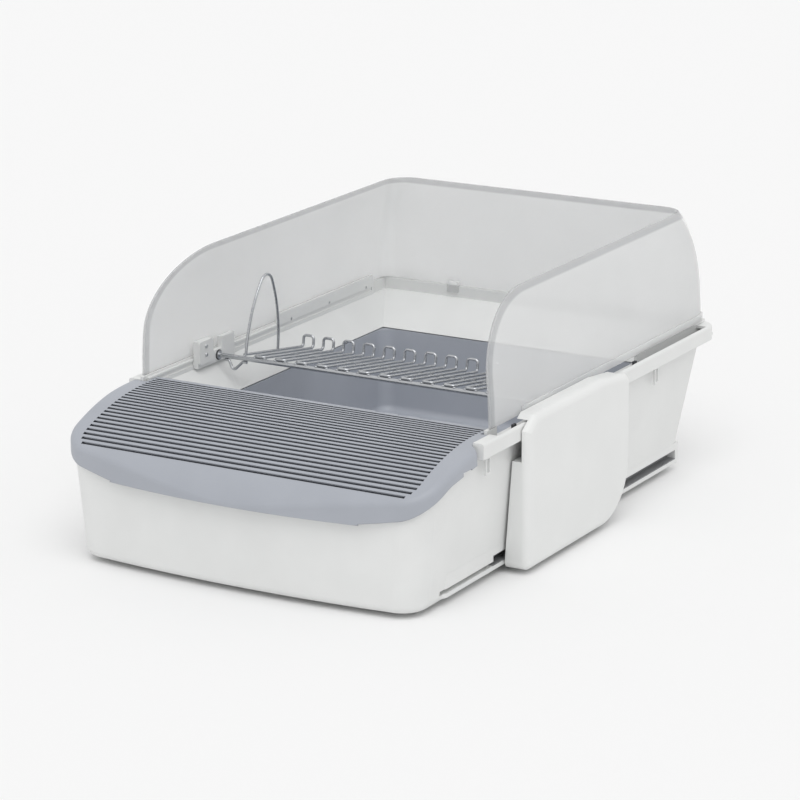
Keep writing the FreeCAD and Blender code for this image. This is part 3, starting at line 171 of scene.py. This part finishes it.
@dataclass(frozen=True)
class MouldedPlastic:
    """Injection-moulded plastic: fine spark-eroded grain, faint flow mottling, soft edges."""

    name: str
    colour: str
    mottle: str
    roughness: float
    grain: float = 0.9 * MM
    depth: float = 0.03 * MM
    edge: float = 0.7 * MM
    ior: float = 1.49
    flow: float = 70 * MM
    flow_spread: tuple[float, float] = (0.35, 0.65)
    gloss: float = 0.04
    dulling: float = 0.05
    bump: float = 0.5
    # Painted shade for creases: its dark colour, how far the occlusion looks, and the occlusion
    # values at which the shade is full and gone.
    painted_groove_shade: Optional[str] = None
    crease_reach: float = 3.5 * MM
    crease_dark: float = 0.55
    crease_clear: float = 0.95

    def paint_groove_shade(self, tree: bpy.types.NodeTree,
                       colour: bpy.types.NodeSocket) -> bpy.types.NodeSocket:
        """Paint shade into the bottoms of narrow grooves: the more closed in ambient occlusion
        finds them, the more of the dark colour is mixed in.

        Args:
            tree: Node tree of the material.
            colour: Colour of the open surface.

        Returns:
            The colour with painted shade in its creases.
        """
        open_share = add_node(tree, "ShaderNodeAmbientOcclusion", {
            "Distance": self.crease_reach}, samples=8, only_local=True)
        share = add_node(tree, "ShaderNodeMapRange", {
            "Value": open_share.outputs["AO"], "From Min": self.crease_dark,
            "From Max": self.crease_clear})
        mixed = add_node(tree, "ShaderNodeMix", {
            "Factor": share.outputs["Result"], 6: linear(self.painted_groove_shade), 7: colour},
            data_type="RGBA")
        return mixed.outputs[2]

    def material(self) -> bpy.types.Material:
        """Build the node material and return it."""
        material, tree = empty_material(self.name)
        flow = noise(tree, self.flow, 3)
        share = add_node(tree, "ShaderNodeMapRange", {
            "Value": flow, "From Min": self.flow_spread[0],
            "From Max": self.flow_spread[1]})
        colour = add_node(tree, "ShaderNodeMix", {
            "Factor": share.outputs["Result"], 6: linear(self.colour),
            7: linear(self.mottle)}, data_type="RGBA").outputs[2]
        # Painted shade in the creases, where the finish gives a colour for it.
        if self.painted_groove_shade:
            colour = self.paint_groove_shade(tree, colour)
        grain = noise(tree, self.grain, 3)
        rough = add_node(tree, "ShaderNodeMapRange", {
            "Value": grain, "From Min": NOISE_LOW, "From Max": NOISE_HIGH,
            "To Min": self.roughness - self.gloss, "To Max": self.roughness + self.dulling})
        edge = add_node(tree, "ShaderNodeBevel", {"Radius": self.edge}, samples=BEVEL_SAMPLES)
        bump = add_node(tree, "ShaderNodeBump", {
            "Strength": self.bump, "Distance": self.depth, "Height": grain,
            "Normal": edge.outputs["Normal"]})
        shader = add_node(tree, "ShaderNodeBsdfPrincipled", {
            "Base Color": colour, "Roughness": rough.outputs["Result"],
            "IOR": self.ior, "Normal": bump.outputs["Normal"]})
        add_node(tree, "ShaderNodeOutputMaterial", {"Surface": shader.outputs["BSDF"]})
        return material


@dataclass(frozen=True)
class FrostedSheet:
    """Frosted translucent polypropylene: milky, satin, lets part of the light straight through."""

    name: str
    colour: str
    cloud: str
    hem: str
    roughness: float
    cover: float
    soak: float = 0.8
    soak_depth: float = 9 * MM
    cloud_size: float = 120 * MM
    grain: float = 0.8 * MM
    depth: float = 0.04 * MM
    bump: float = 0.6
    edge: float = 0.6 * MM
    ior: float = 1.49
    hem_centre: tuple[float, float] = (-60 * MM, 205 * MM)
    hem_reach: tuple[float, float] = (107 * MM, 75 * MM)
    hem_start: float = 0.9
    hem_end: float = 0.925

    def hem_share(self, tree: bpy.types.NodeTree) -> bpy.types.NodeSocket:
        """Find the hem, the band along the front edge, which is upright below and an ellipse above.

        Args:
            tree: Node tree of the material.

        Returns:
            1 in the hem and 0 elsewhere.
        """
        place = add_node(tree, "ShaderNodeTexCoord")
        parts = add_node(tree, "ShaderNodeSeparateXYZ", {"Vector": place.outputs["Object"]})
        forward = add_node(tree, "ShaderNodeMath", {
            0: self.hem_centre[0], 1: parts.outputs["Y"]}, operation="SUBTRACT")
        ahead = add_node(tree, "ShaderNodeMath", {
            0: forward.outputs[0], 1: 0.0}, operation="MAXIMUM")
        above = add_node(tree, "ShaderNodeMath", {
            0: parts.outputs["Z"], 1: self.hem_centre[1]}, operation="SUBTRACT")
        raised = add_node(tree, "ShaderNodeMath", {
            0: above.outputs[0], 1: 0.0}, operation="MAXIMUM")
        level = add_node(tree, "ShaderNodeCombineXYZ", {
            "X": ahead.outputs[0], "Y": raised.outputs[0]})
        scaled = add_node(tree, "ShaderNodeVectorMath", {
            0: level.outputs["Vector"],
            1: (1 / self.hem_reach[0], 1 / self.hem_reach[1], 0)}, operation="MULTIPLY")
        reach = add_node(tree, "ShaderNodeVectorMath", {
            0: scaled.outputs["Vector"]}, operation="LENGTH")
        share = add_node(tree, "ShaderNodeMapRange", {
            "Value": reach.outputs["Value"], "From Min": self.hem_start,
            "From Max": self.hem_end})
        return share.outputs["Result"]

    def material(self) -> bpy.types.Material:
        """Build the node material and return it."""
        material, tree = empty_material(self.name)
        cloud = noise(tree, self.cloud_size)
        share = add_node(tree, "ShaderNodeMapRange", {
            "Value": cloud, "From Min": NOISE_LOW, "From Max": NOISE_HIGH})
        sheet = add_node(tree, "ShaderNodeMix", {
            "Factor": share.outputs["Result"], 6: linear(self.colour),
            7: linear(self.cloud)}, data_type="RGBA")
        colour = add_node(tree, "ShaderNodeMix", {
            "Factor": self.hem_share(tree), 6: sheet.outputs[2],
            7: linear(self.hem)}, data_type="RGBA")
        grain = noise(tree, self.grain, 3)
        edge = add_node(tree, "ShaderNodeBevel", {"Radius": self.edge}, samples=BEVEL_SAMPLES)
        bump = add_node(tree, "ShaderNodeBump", {
            "Strength": self.bump, "Distance": self.depth, "Height": grain,
            "Normal": edge.outputs["Normal"]})
        shader = add_node(tree, "ShaderNodeBsdfPrincipled", {
            "Base Color": colour.outputs[2], "Roughness": self.roughness,
            "IOR": self.ior, "Alpha": self.cover, "Subsurface Weight": self.soak,
            "Subsurface Radius": (1, 1, 1), "Subsurface Scale": self.soak_depth,
            "Normal": bump.outputs["Normal"]})
        add_node(tree, "ShaderNodeOutputMaterial", {"Surface": shader.outputs["BSDF"]})
        return material


@dataclass(frozen=True)
class Steel:
    """Bright steel: drawing or brushing lines along one axis, slightly uneven gloss."""

    name: str
    colour: str
    roughness: float
    line: float = 0.5 * MM
    along: tuple[float, float, float] = (0.05, 1.0, 1.0)
    gloss: float = 0.06
    dulling: float = 0.08
    depth: float = 0.02 * MM
    bump: float = 0.25
    edge: float = 0.3 * MM

    def material(self) -> bpy.types.Material:
        """Build the node material and return it."""
        material, tree = empty_material(self.name)
        lines = noise(tree, self.line, 2, self.along)
        rough = add_node(tree, "ShaderNodeMapRange", {
            "Value": lines, "From Min": NOISE_LOW, "From Max": NOISE_HIGH,
            "To Min": self.roughness - self.gloss, "To Max": self.roughness + self.dulling})
        edge = add_node(tree, "ShaderNodeBevel", {"Radius": self.edge}, samples=BEVEL_SAMPLES)
        bump = add_node(tree, "ShaderNodeBump", {
            "Strength": self.bump, "Distance": self.depth, "Height": lines,
            "Normal": edge.outputs["Normal"]})
        shader = add_node(tree, "ShaderNodeBsdfPrincipled", {
            "Base Color": linear(self.colour), "Metallic": 1.0,
            "Roughness": rough.outputs["Result"], "Normal": bump.outputs["Normal"]})
        add_node(tree, "ShaderNodeOutputMaterial", {"Surface": shader.outputs["BSDF"]})
        return material


# White polypropylene of the tub: cool white, satin, a spark-eroded grain that only shows close up.
TUB_WHITE = MouldedPlastic("white_moulded_polypropylene", "#e6e7e6", "#e2e3e2", 0.42)
# The same plastic on the handle comes from a smoother mould, so it shines a little more.
HANDLE_WHITE = MouldedPlastic("white_smooth_polypropylene", "#e8e9e8", "#e5e6e5", 0.34,
                              depth=0.015 * MM)
# Grey polypropylene of the pan and the bin: neutral to slightly blue, satin.
PAN_GREY = MouldedPlastic("grey_moulded_polypropylene", "#b3b7bf", "#afb3bb", 0.46)
# Step pad: harder blue-grey plastic with a satin face, with painted shade, near-black, mixed into
# its grooves.
PAD_GREY = MouldedPlastic("blue_grey_moulded_plastic", "#a9adb5", "#a5a9b1", 0.44,
                          painted_groove_shade="#2e3138")
# Feet: pale, slightly dusty rubber.
FOOT_RUBBER = MouldedPlastic("pale_grey_rubber", "#b4b5b4", "#adaead", 0.72, grain=0.6 * MM)
# Washers and stops: dark rubber, dull.
DARK_RUBBER = MouldedPlastic("dark_grey_rubber", "#46474a", "#404144", 0.75, grain=0.6 * MM)
# Slippery acetal of the guide strips, the channel strip and the shoe: mid grey, waxy. Its grey is
# partly painted shade: it darkens the slots, the channel floor and the shoe's front where these
# lie.
ACETAL_AND_SLOT_SHADE = MouldedPlastic("grey_acetal_and_slot_shade", "#87888a", "#808183", 0.38, depth=0.01 * MM)
# The shaft's bushes are the same plastic, undyed: milky white, waxy.
BUSH_ACETAL = MouldedPlastic("natural_acetal", "#d6d7d4", "#d0d1ce", 0.36, depth=0.01 * MM)
# Hood: frosted sheet that shows faintly what is behind it, with a slightly darker rolled hem.
HOOD_SHEET = FrostedSheet("frosted_polypropylene", "#e9eaea", "#e4e5e5", "#bfc0c1", 0.42, 0.56)
# Comb wire: drawn steel with a bright nickel plating.
PLATED_WIRE = Steel("nickel_plated_steel_wire", "#b9bbbe", 0.24)
# Screws and rings: bright zinc-plated steel, lightly brushed along Y.
BRIGHT_STEEL = Steel("zinc_plated_steel", "#d4d6d8", 0.3, along=(1.0, 0.05, 1.0))


# Modelling helpers


def select_only(obj: bpy.types.Object) -> None:
    """Make one object the only selected one, and the active one."""
    bpy.ops.object.select_all(action="DESELECT")
    obj.select_set(True)
    bpy.context.view_layer.objects.active = obj


def shape_edit(obj: bpy.types.Object, element: Element, pick: Callable[[Any], bool],
               work: Callable[[], Any]) -> None:
    """Select some elements of a mesh in code and work on them in edit mode.

    Args:
        obj: Object to edit.
        element: Kind of the elements that are selected.
        pick: Says which elements are selected.
        work: Operators to run on them.
    """
    select_only(obj)
    mesh = obj.data
    bpy.ops.object.mode_set(mode="EDIT")
    bpy.ops.mesh.select_mode(type=element.value)
    bpy.ops.mesh.select_all(action="DESELECT")
    bpy.ops.object.mode_set(mode="OBJECT")
    items = mesh.edges if element is Element.EDGE else mesh.polygons
    for item in items:
        item.select = pick(item)
    bpy.ops.object.mode_set(mode="EDIT")
    work()
    bpy.ops.object.mode_set(mode="OBJECT")


def edge_height(obj: bpy.types.Object, edge: Any) -> tuple[float, float]:
    """Lowest and highest Z of an edge's two ends."""
    ends = [obj.data.vertices[index].co.z for index in edge.vertices]
    return min(ends), max(ends)


def cylinder(name: str, radius: float, low: float, high: float, sides: int) -> bpy.types.Object:
    """Add an upright cylinder at the origin.

    Args:
        name: Name of the object.
        radius: Radius in metres.
        low: Height of its lower face.
        high: Height of its upper face.
        sides: Number of sides.

    Returns:
        The new object, with its place in its mesh.
    """
    bpy.ops.object.select_all(action="DESELECT")
    bpy.ops.mesh.primitive_cylinder_add(vertices=sides, radius=radius, depth=high - low,
                                        location=(0, 0, (low + high) / 2))
    obj = bpy.context.object
    obj.name = name
    bpy.ops.object.transform_apply(location=True, rotation=True, scale=True)
    return obj


def cube(name: str, low: Vector, high: Vector) -> bpy.types.Object:
    """Add a box between two corners, with its place in its mesh, and return it."""
    bpy.ops.object.select_all(action="DESELECT")
    bpy.ops.mesh.primitive_cube_add(size=1, location=(low + high) / 2)
    obj = bpy.context.object
    obj.name = name
    obj.scale = high - low
    bpy.ops.object.transform_apply(location=True, rotation=True, scale=True)
    return obj


def carve(obj: bpy.types.Object, tool: bpy.types.Object) -> None:
    """Cut one object out of another and remove the tool."""
    select_only(obj)
    cutter = obj.modifiers.new("recess", "BOOLEAN")
    cutter.operation = "DIFFERENCE"
    cutter.object = tool
    cutter.solver = "EXACT"
    bpy.ops.object.modifier_apply(modifier=cutter.name)
    bpy.data.objects.remove(tool)


def join(name: str, parts: list[bpy.types.Object]) -> bpy.types.Object:
    """Join several objects into one of the given name and return it."""
    bpy.ops.object.select_all(action="DESELECT")
    for part in parts:
        part.select_set(True)
    bpy.context.view_layer.objects.active = parts[0]
    bpy.ops.object.join()
    obj = bpy.context.object
    obj.name = name
    return obj


def copy_at(obj: bpy.types.Object, matrix: Matrix) -> bpy.types.Object:
    """Copy an object with its own mesh, moved in the mesh by a matrix, and return it."""
    twin = obj.copy()
    twin.data = obj.data.copy()
    bpy.context.scene.collection.objects.link(twin)
    twin.data.transform(matrix)
    return twin


def smooth(obj: bpy.types.Object, angle: float = 35) -> None:
    """Shade an object smooth below an angle between its faces, in degrees."""
    select_only(obj)
    bpy.ops.object.shade_smooth_by_angle(angle=math.radians(angle))


def put_on(obj: bpy.types.Object, body: Body, material: bpy.types.Material) -> None:
    """Dress a new piece and let it ride on its body.

    Args:
        obj: The finished piece.
        body: Body it moves with.
        material: Its material.
    """
    obj.data.materials.clear()
    obj.data.materials.append(material)
    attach(obj, body.value)
    LOG.info("piece %s on %s", obj.name, body.value)


def dress(nodes: tuple[str, ...], material: bpy.types.Material) -> None:
    """Give CAD nodes their material.

    Args:
        nodes: Names of the nodes.
        material: The material they get.
    """
    for name in nodes:
        mesh = frame["nodes"][name].data
        mesh.materials.clear()
        mesh.materials.append(material)
        LOG.info("node %s in %s", name, material.name)


# Small hardware


@dataclass
class PanHead:
    """Cross-recessed pan-head screw, drawn upright with the seat of its head at the origin."""

    radius: float
    height: float
    shank_radius: float
    shank_length: float
    recess_width: float = 0.7 * MM
    recess_share: float = 0.62
    recess_floor: float = 0.35
    dome: float = 0.55
    dome_steps: int = 4
    head_sides: int = 32
    shank_sides: int = 16
    shank_overlap: float = 0.05 * MM

    def build(self, name: str) -> bpy.types.Object:
        """Model one screw.

        Args:
            name: Name of the object.

        Returns:
            The screw, its head above the origin and its shank below.
        """
        head = cylinder(name, self.radius, 0, self.height, self.head_sides)
        shape_edit(head, Element.EDGE, lambda edge: edge_height(head, edge)[0] > self.height * 0.9,
                   lambda: bpy.ops.mesh.bevel(offset=self.height * self.dome,
                                              segments=self.dome_steps))
        reach = self.radius * self.recess_share
        half = self.recess_width / 2
        floor = self.height * self.recess_floor
        top = self.height * 1.5
        arms = [
            cube("recess_x", Vector((-reach, -half, floor)), Vector((reach, half, top))),
            cube("recess_y", Vector((-half, -reach, floor)), Vector((half, reach, top))),
        ]
        for arm in arms:
            carve(head, arm)
        shank = cylinder(name + "_shank", self.shank_radius, -self.shank_length,
                         self.shank_overlap, self.shank_sides)
        screw = join(name, [head, shank])
        smooth(screw)
        return screw


def screw_row(name: str, node: str, head_height: float, shank_radius: float,
              spots: list[tuple[float, float]]) -> bpy.types.Object:
    """Model the screws of a CAD node whose heads face +X.

    Args:
        name: Name of the new piece.
        node: CAD node that holds the screws.
        head_height: Height of a head in metres.
        shank_radius: Radius of a shank in metres.
        spots: Place of each screw as (Y, Z).

    Returns:
        All screws as one object.
    """
    low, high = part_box(node)
    radius = min(high.y - low.y, high.z - low.z) / 2
    length = high.x - low.x - head_height
    model = PanHead(radius, head_height, shank_radius, length).build(name)
    face = high.x - head_height
    turned = []
    for index, (across, up) in enumerate(spots):
        spin = Matrix.Rotation(math.radians(90), 4, "Y") @ Matrix.Rotation(
            math.radians(FIRST_TURN + TURN_STEP * index), 4, "Z")
        turned.append(copy_at(model, Matrix.Translation((face, across, up)) @ spin))
    bpy.data.objects.remove(model)
    return join(name, turned)


# Sub-assemblies


@dataclass
class Tub:
    """White tub with the grey pan and bin in it and four rubber feet under it."""

    foot_bevel: float = 0.9 * MM
    foot_bevel_steps: int = 4
    foot_recess: float = 1.8 * MM
    foot_recess_depth: float = 0.8 * MM
    foot_sides: int = 48

    def build_feet(self) -> bpy.types.Object:
        """Model the four feet with a rounded lower edge and a hollow sole, and return them."""
        low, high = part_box("tub_feet")
        radius = self.foot_radius()
        foot = cylinder("foot", radius, low.z, high.z, self.foot_sides)
        shape_edit(foot, Element.EDGE,
                   lambda edge: edge_height(foot, edge)[1] < low.z + self.foot_bevel,
                   lambda: bpy.ops.mesh.bevel(offset=self.foot_bevel,
                                              segments=self.foot_bevel_steps))
        shape_edit(foot, Element.FACE,
                   lambda face: face.normal.z < -0.9 and len(face.vertices) == self.foot_sides,
                   self.hollow_sole)
        sides = (low.x + radius, high.x - radius)
        depths = (low.y + radius, high.y - radius)
        feet = [copy_at(foot, Matrix.Translation((x, y, 0))) for x in sides for y in depths]
        bpy.data.objects.remove(foot)
        piece = join("rubber_feet", feet)
        smooth(piece)
        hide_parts("tub_feet")
        return piece

    def foot_radius(self) -> float:
        """Radius of a foot, from the width of the CAD feet on the right."""
        low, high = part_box("tub_feet")
        middle = (low.x + high.x) / 2
        right = [vertex.co.x for vertex in frame["nodes"]["tub_feet"].data.vertices
                 if vertex.co.x > middle]
        return (max(right) - min(right)) / 2

    def hollow_sole(self) -> None:
        """Inset the sole and push it inwards."""
        bpy.ops.mesh.inset(thickness=self.foot_recess)
        bpy.ops.mesh.extrude_region_move(
            TRANSFORM_OT_translate={"value": (0, 0, self.foot_recess_depth)})

    def build(self) -> None:
        """Build the feet and dress the tub."""
        put_on(self.build_feet(), Body.ROOT, FOOT_RUBBER.material())
        dress(("base_tub",), TUB_WHITE.material())
        dress(("litter_pan", "waste_bin"), PAN_GREY.material())
        # The guide strip's grey also paints shade into its slot.
        dress(("guide_strip",), ACETAL_AND_SLOT_SHADE.material())


@dataclass
class UpperFrame:
    """White frame round the pan with its clips, strips, stops and the left rail."""

    rail_head: float = 1.4 * MM
    rail_shank: float = 1.1 * MM
    rail_screws: int = 3

    def build_rail_screws(self) -> bpy.types.Object:
        """Model the rail's screws and return them."""
        low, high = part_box("rail_screws")
        radius = (high.z - low.z) / 2
        first = low.y + radius
        step = (high.y - low.y - 2 * radius) / (self.rail_screws - 1)
        spots = [(first + step * index, low.z + radius) for index in range(self.rail_screws)]
        piece = screw_row("rail_pan_heads", "rail_screws", self.rail_head, self.rail_shank, spots)
        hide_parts("rail_screws")
        return piece

    def build(self) -> None:
        """Build the rail's screws and dress the frame."""
        steel = BRIGHT_STEEL.material()
        put_on(self.build_rail_screws(), Body.ROOT, steel)
        dress(("upper_frame", "frame_clips"), TUB_WHITE.material())
        # The channel strip's grey also paints shade over the channel floor.
        dress(("channel_strip",), ACETAL_AND_SLOT_SHADE.material())
        dress(("travel_stops",), DARK_RUBBER.material())
        dress(("left_rail",), HANDLE_WHITE.material())


@dataclass
class Step:
    """Blue-grey step pad with its grooved tread."""

    def build(self) -> None:
        """Dress the pad."""
        dress(("step_pad",), PAD_GREY.material())


@dataclass
class Hood:
    """Frosted splash hood."""

    def build(self) -> None:
        """Dress the hood."""
        dress(("hood",), HOOD_SHEET.material())


@dataclass
class Handle:
    """Slider on the right with its carriages, bracket, plate and screws."""

    plate_head: float = 1.4 * MM
    plate_shank: float = 1.3 * MM

    def build_plate_screws(self) -> bpy.types.Object:
        """Model the two screws of the left end plate and return them."""
        low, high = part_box("plate_screws")
        radius = (high.y - low.y) / 2
        middle = (low.y + high.y) / 2
        spots = [(middle, low.z + radius), (middle, high.z - radius)]
        piece = screw_row("plate_pan_heads", "plate_screws", self.plate_head, self.plate_shank,
                          spots)
        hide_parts("plate_screws")
        return piece

    def build(self) -> None:
        """Build the plate's screws and dress the handle."""
        steel = BRIGHT_STEEL.material()
        put_on(self.build_plate_screws(), Body.SLIDER, steel)
        dress(("slider_panel", "slider_bracket", "left_carriage", "right_carriage",
               "left_end_plate"), HANDLE_WHITE.material())
        dress(("carriage_screws", "panel_screws"), steel)
        # The shoe's grey also paints shade at the panel's foot.
        dress(("lower_shoe",), ACETAL_AND_SLOT_SHADE.material())
        dress(("left_bush", "right_bush"), BUSH_ACETAL.material())
        dress(("friction_washers",), DARK_RUBBER.material())


@dataclass
class Comb:
    """Wire comb on its shaft, with weld beads where the wires meet the shaft."""

    pitch: float = 12.7 * MM
    wires: int = 26
    bead_radius: float = 1.7 * MM
    bead_shape: tuple[float, float, float] = (1.15, 1.25, 0.6)
    shaft_radius: float = 2.5 * MM
    droop: float = 9.0

    def build_beads(self) -> bpy.types.Object:
        """Model the weld beads between the wires and the shaft and return them."""
        hinge = next(joint for joint in frame["joints"] if joint["name"] == "comb_tip")
        centre = Vector(hinge["pos_m"])
        bpy.ops.object.select_all(action="DESELECT")
        bpy.ops.mesh.primitive_uv_sphere_add(segments=12, ring_count=8, radius=self.bead_radius)
        bead = bpy.context.object
        bead.scale = self.bead_shape
        bpy.ops.object.transform_apply(location=True, rotation=True, scale=True)
        tilt = Matrix.Rotation(-math.radians(self.droop), 4, "X")
        first = -self.pitch * (self.wires - 1) / 2
        beads = [
            copy_at(bead, Matrix.Translation(centre) @ tilt @ Matrix.Translation(
                (first + self.pitch * index, 0, self.shaft_radius)))
            for index in range(self.wires)]
        bpy.data.objects.remove(bead)
        piece = join("weld_beads", beads)
        smooth(piece, 60)
        return piece

    def build(self) -> None:
        """Build the weld beads and dress the comb."""
        wire = PLATED_WIRE.material()
        put_on(self.build_beads(), Body.COMB, wire)
        dress(("comb_shaft", "comb_fingers", "comb_cross_wire", "guard_hoop", "crank_wire"), wire)
        dress(("shaft_rings",), BRIGHT_STEEL.material())


# Studio


@dataclass
class Studio:
    """Pale floor, soft light and the camera at the photograph's angle."""

    azimuth: float = 30.4
    elevation: float = 16.02
    roll: float = 0.43
    lens: float = 149.5
    sensor: float = 36.0
    distance: float = 3468 * MM
    middle_height: float = 140 * MM
    aim_right: float = 4.3 * MM
    aim_up: float = -20.4 * MM
    tub_middle: float = -4.5 * MM
    floor_size: float = 16.0
    floor_colour: str = "#f5f5f5"
    backdrop: float = 0.92
    sky: float = 0.74
    sun: float = 1.0
    sun_softness: float = 50.0
    sun_side: tuple[float, float, float] = (0.28, -0.34, 0.9)

    def build_camera(self) -> None:
        """Place the camera."""
        turn = math.radians(self.azimuth)
        tip = math.radians(self.elevation)
        back = Vector((math.sin(turn) * math.cos(tip), -math.cos(turn) * math.cos(tip),
                       math.sin(tip)))
        right = Vector((math.cos(turn), math.sin(turn), 0))
        up = back.cross(right)
        place = (Vector((self.tub_middle, 0, self.middle_height)) + back * self.distance
                 + right * self.aim_right + up * self.aim_up)
        roll = math.radians(self.roll)
        across = right * math.cos(roll) - up * math.sin(roll)
        upright = right * math.sin(roll) + up * math.cos(roll)
        data = bpy.data.cameras.new("photo_camera")
        data.lens = self.lens
        data.sensor_width = self.sensor
        data.clip_start = 0.05
        data.clip_end = 60
        camera = bpy.data.objects.new("photo_camera", data)
        bpy.context.scene.collection.objects.link(camera)
        axes = Matrix((across, upright, back)).transposed()
        camera.matrix_world = Matrix.Translation(place) @ axes.to_4x4()
        bpy.context.scene.camera = camera

    def build_floor(self) -> None:
        """Lay the pale floor."""
        bpy.ops.object.select_all(action="DESELECT")
        bpy.ops.mesh.primitive_plane_add(size=self.floor_size, location=(0, 0, 0))
        floor = bpy.context.object
        floor.name = "studio_floor"
        material, tree = empty_material("matt_floor_paper")
        shader = add_node(tree, "ShaderNodeBsdfPrincipled", {
            "Base Color": linear(self.floor_colour), "Roughness": 0.9,
            "Specular IOR Level": 0.1})
        add_node(tree, "ShaderNodeOutputMaterial", {"Surface": shader.outputs["BSDF"]})
        floor.data.materials.append(material)

    def build_light(self) -> None:
        """Light the scene with an even sky and one very soft sun."""
        world = bpy.data.worlds.new("studio_sky")
        bpy.context.scene.world = world
        world.use_nodes = True
        tree = world.node_tree
        tree.nodes.clear()
        path = add_node(tree, "ShaderNodeLightPath")
        seen = add_node(tree, "ShaderNodeMath", {
            0: path.outputs["Is Camera Ray"], 1: path.outputs["Is Glossy Ray"]},
            operation="MAXIMUM")
        shown = add_node(tree, "ShaderNodeMath", {
            0: seen.outputs[0], 1: path.outputs["Is Transmission Ray"]}, operation="MAXIMUM")
        strength = add_node(tree, "ShaderNodeMapRange", {
            "Value": shown.outputs[0], "To Min": self.sky, "To Max": self.backdrop})
        sky = add_node(tree, "ShaderNodeBackground", {
            "Color": (1, 1, 1, 1), "Strength": strength.outputs["Result"]})
        add_node(tree, "ShaderNodeOutputWorld", {"Surface": sky.outputs["Background"]})
        data = bpy.data.lights.new("soft_sun", "SUN")
        data.energy = self.sun
        data.angle = math.radians(self.sun_softness)
        sun = bpy.data.objects.new("soft_sun", data)
        bpy.context.scene.collection.objects.link(sun)
        shine = Vector(self.sun_side)
        sun.rotation_mode = "QUATERNION"
        sun.rotation_quaternion = shine.to_track_quat("Z", "Y")

    def build(self) -> None:
        """Build floor, light and camera."""
        self.build_floor()
        self.build_light()
        self.build_camera()
        bpy.context.scene.view_settings.view_transform = "Standard"
        LOG.info("studio ready")


def main() -> None:
    """Build the litter box and its studio in order."""
    logging.basicConfig(level=logging.INFO, format="%(message)s")
    for part in (Tub(), UpperFrame(), Step(), Hood(), Handle(), Comb(), Studio()):
        LOG.info("building %s", type(part).__name__)
        part.build()


if __name__ == "__main__":
    main()
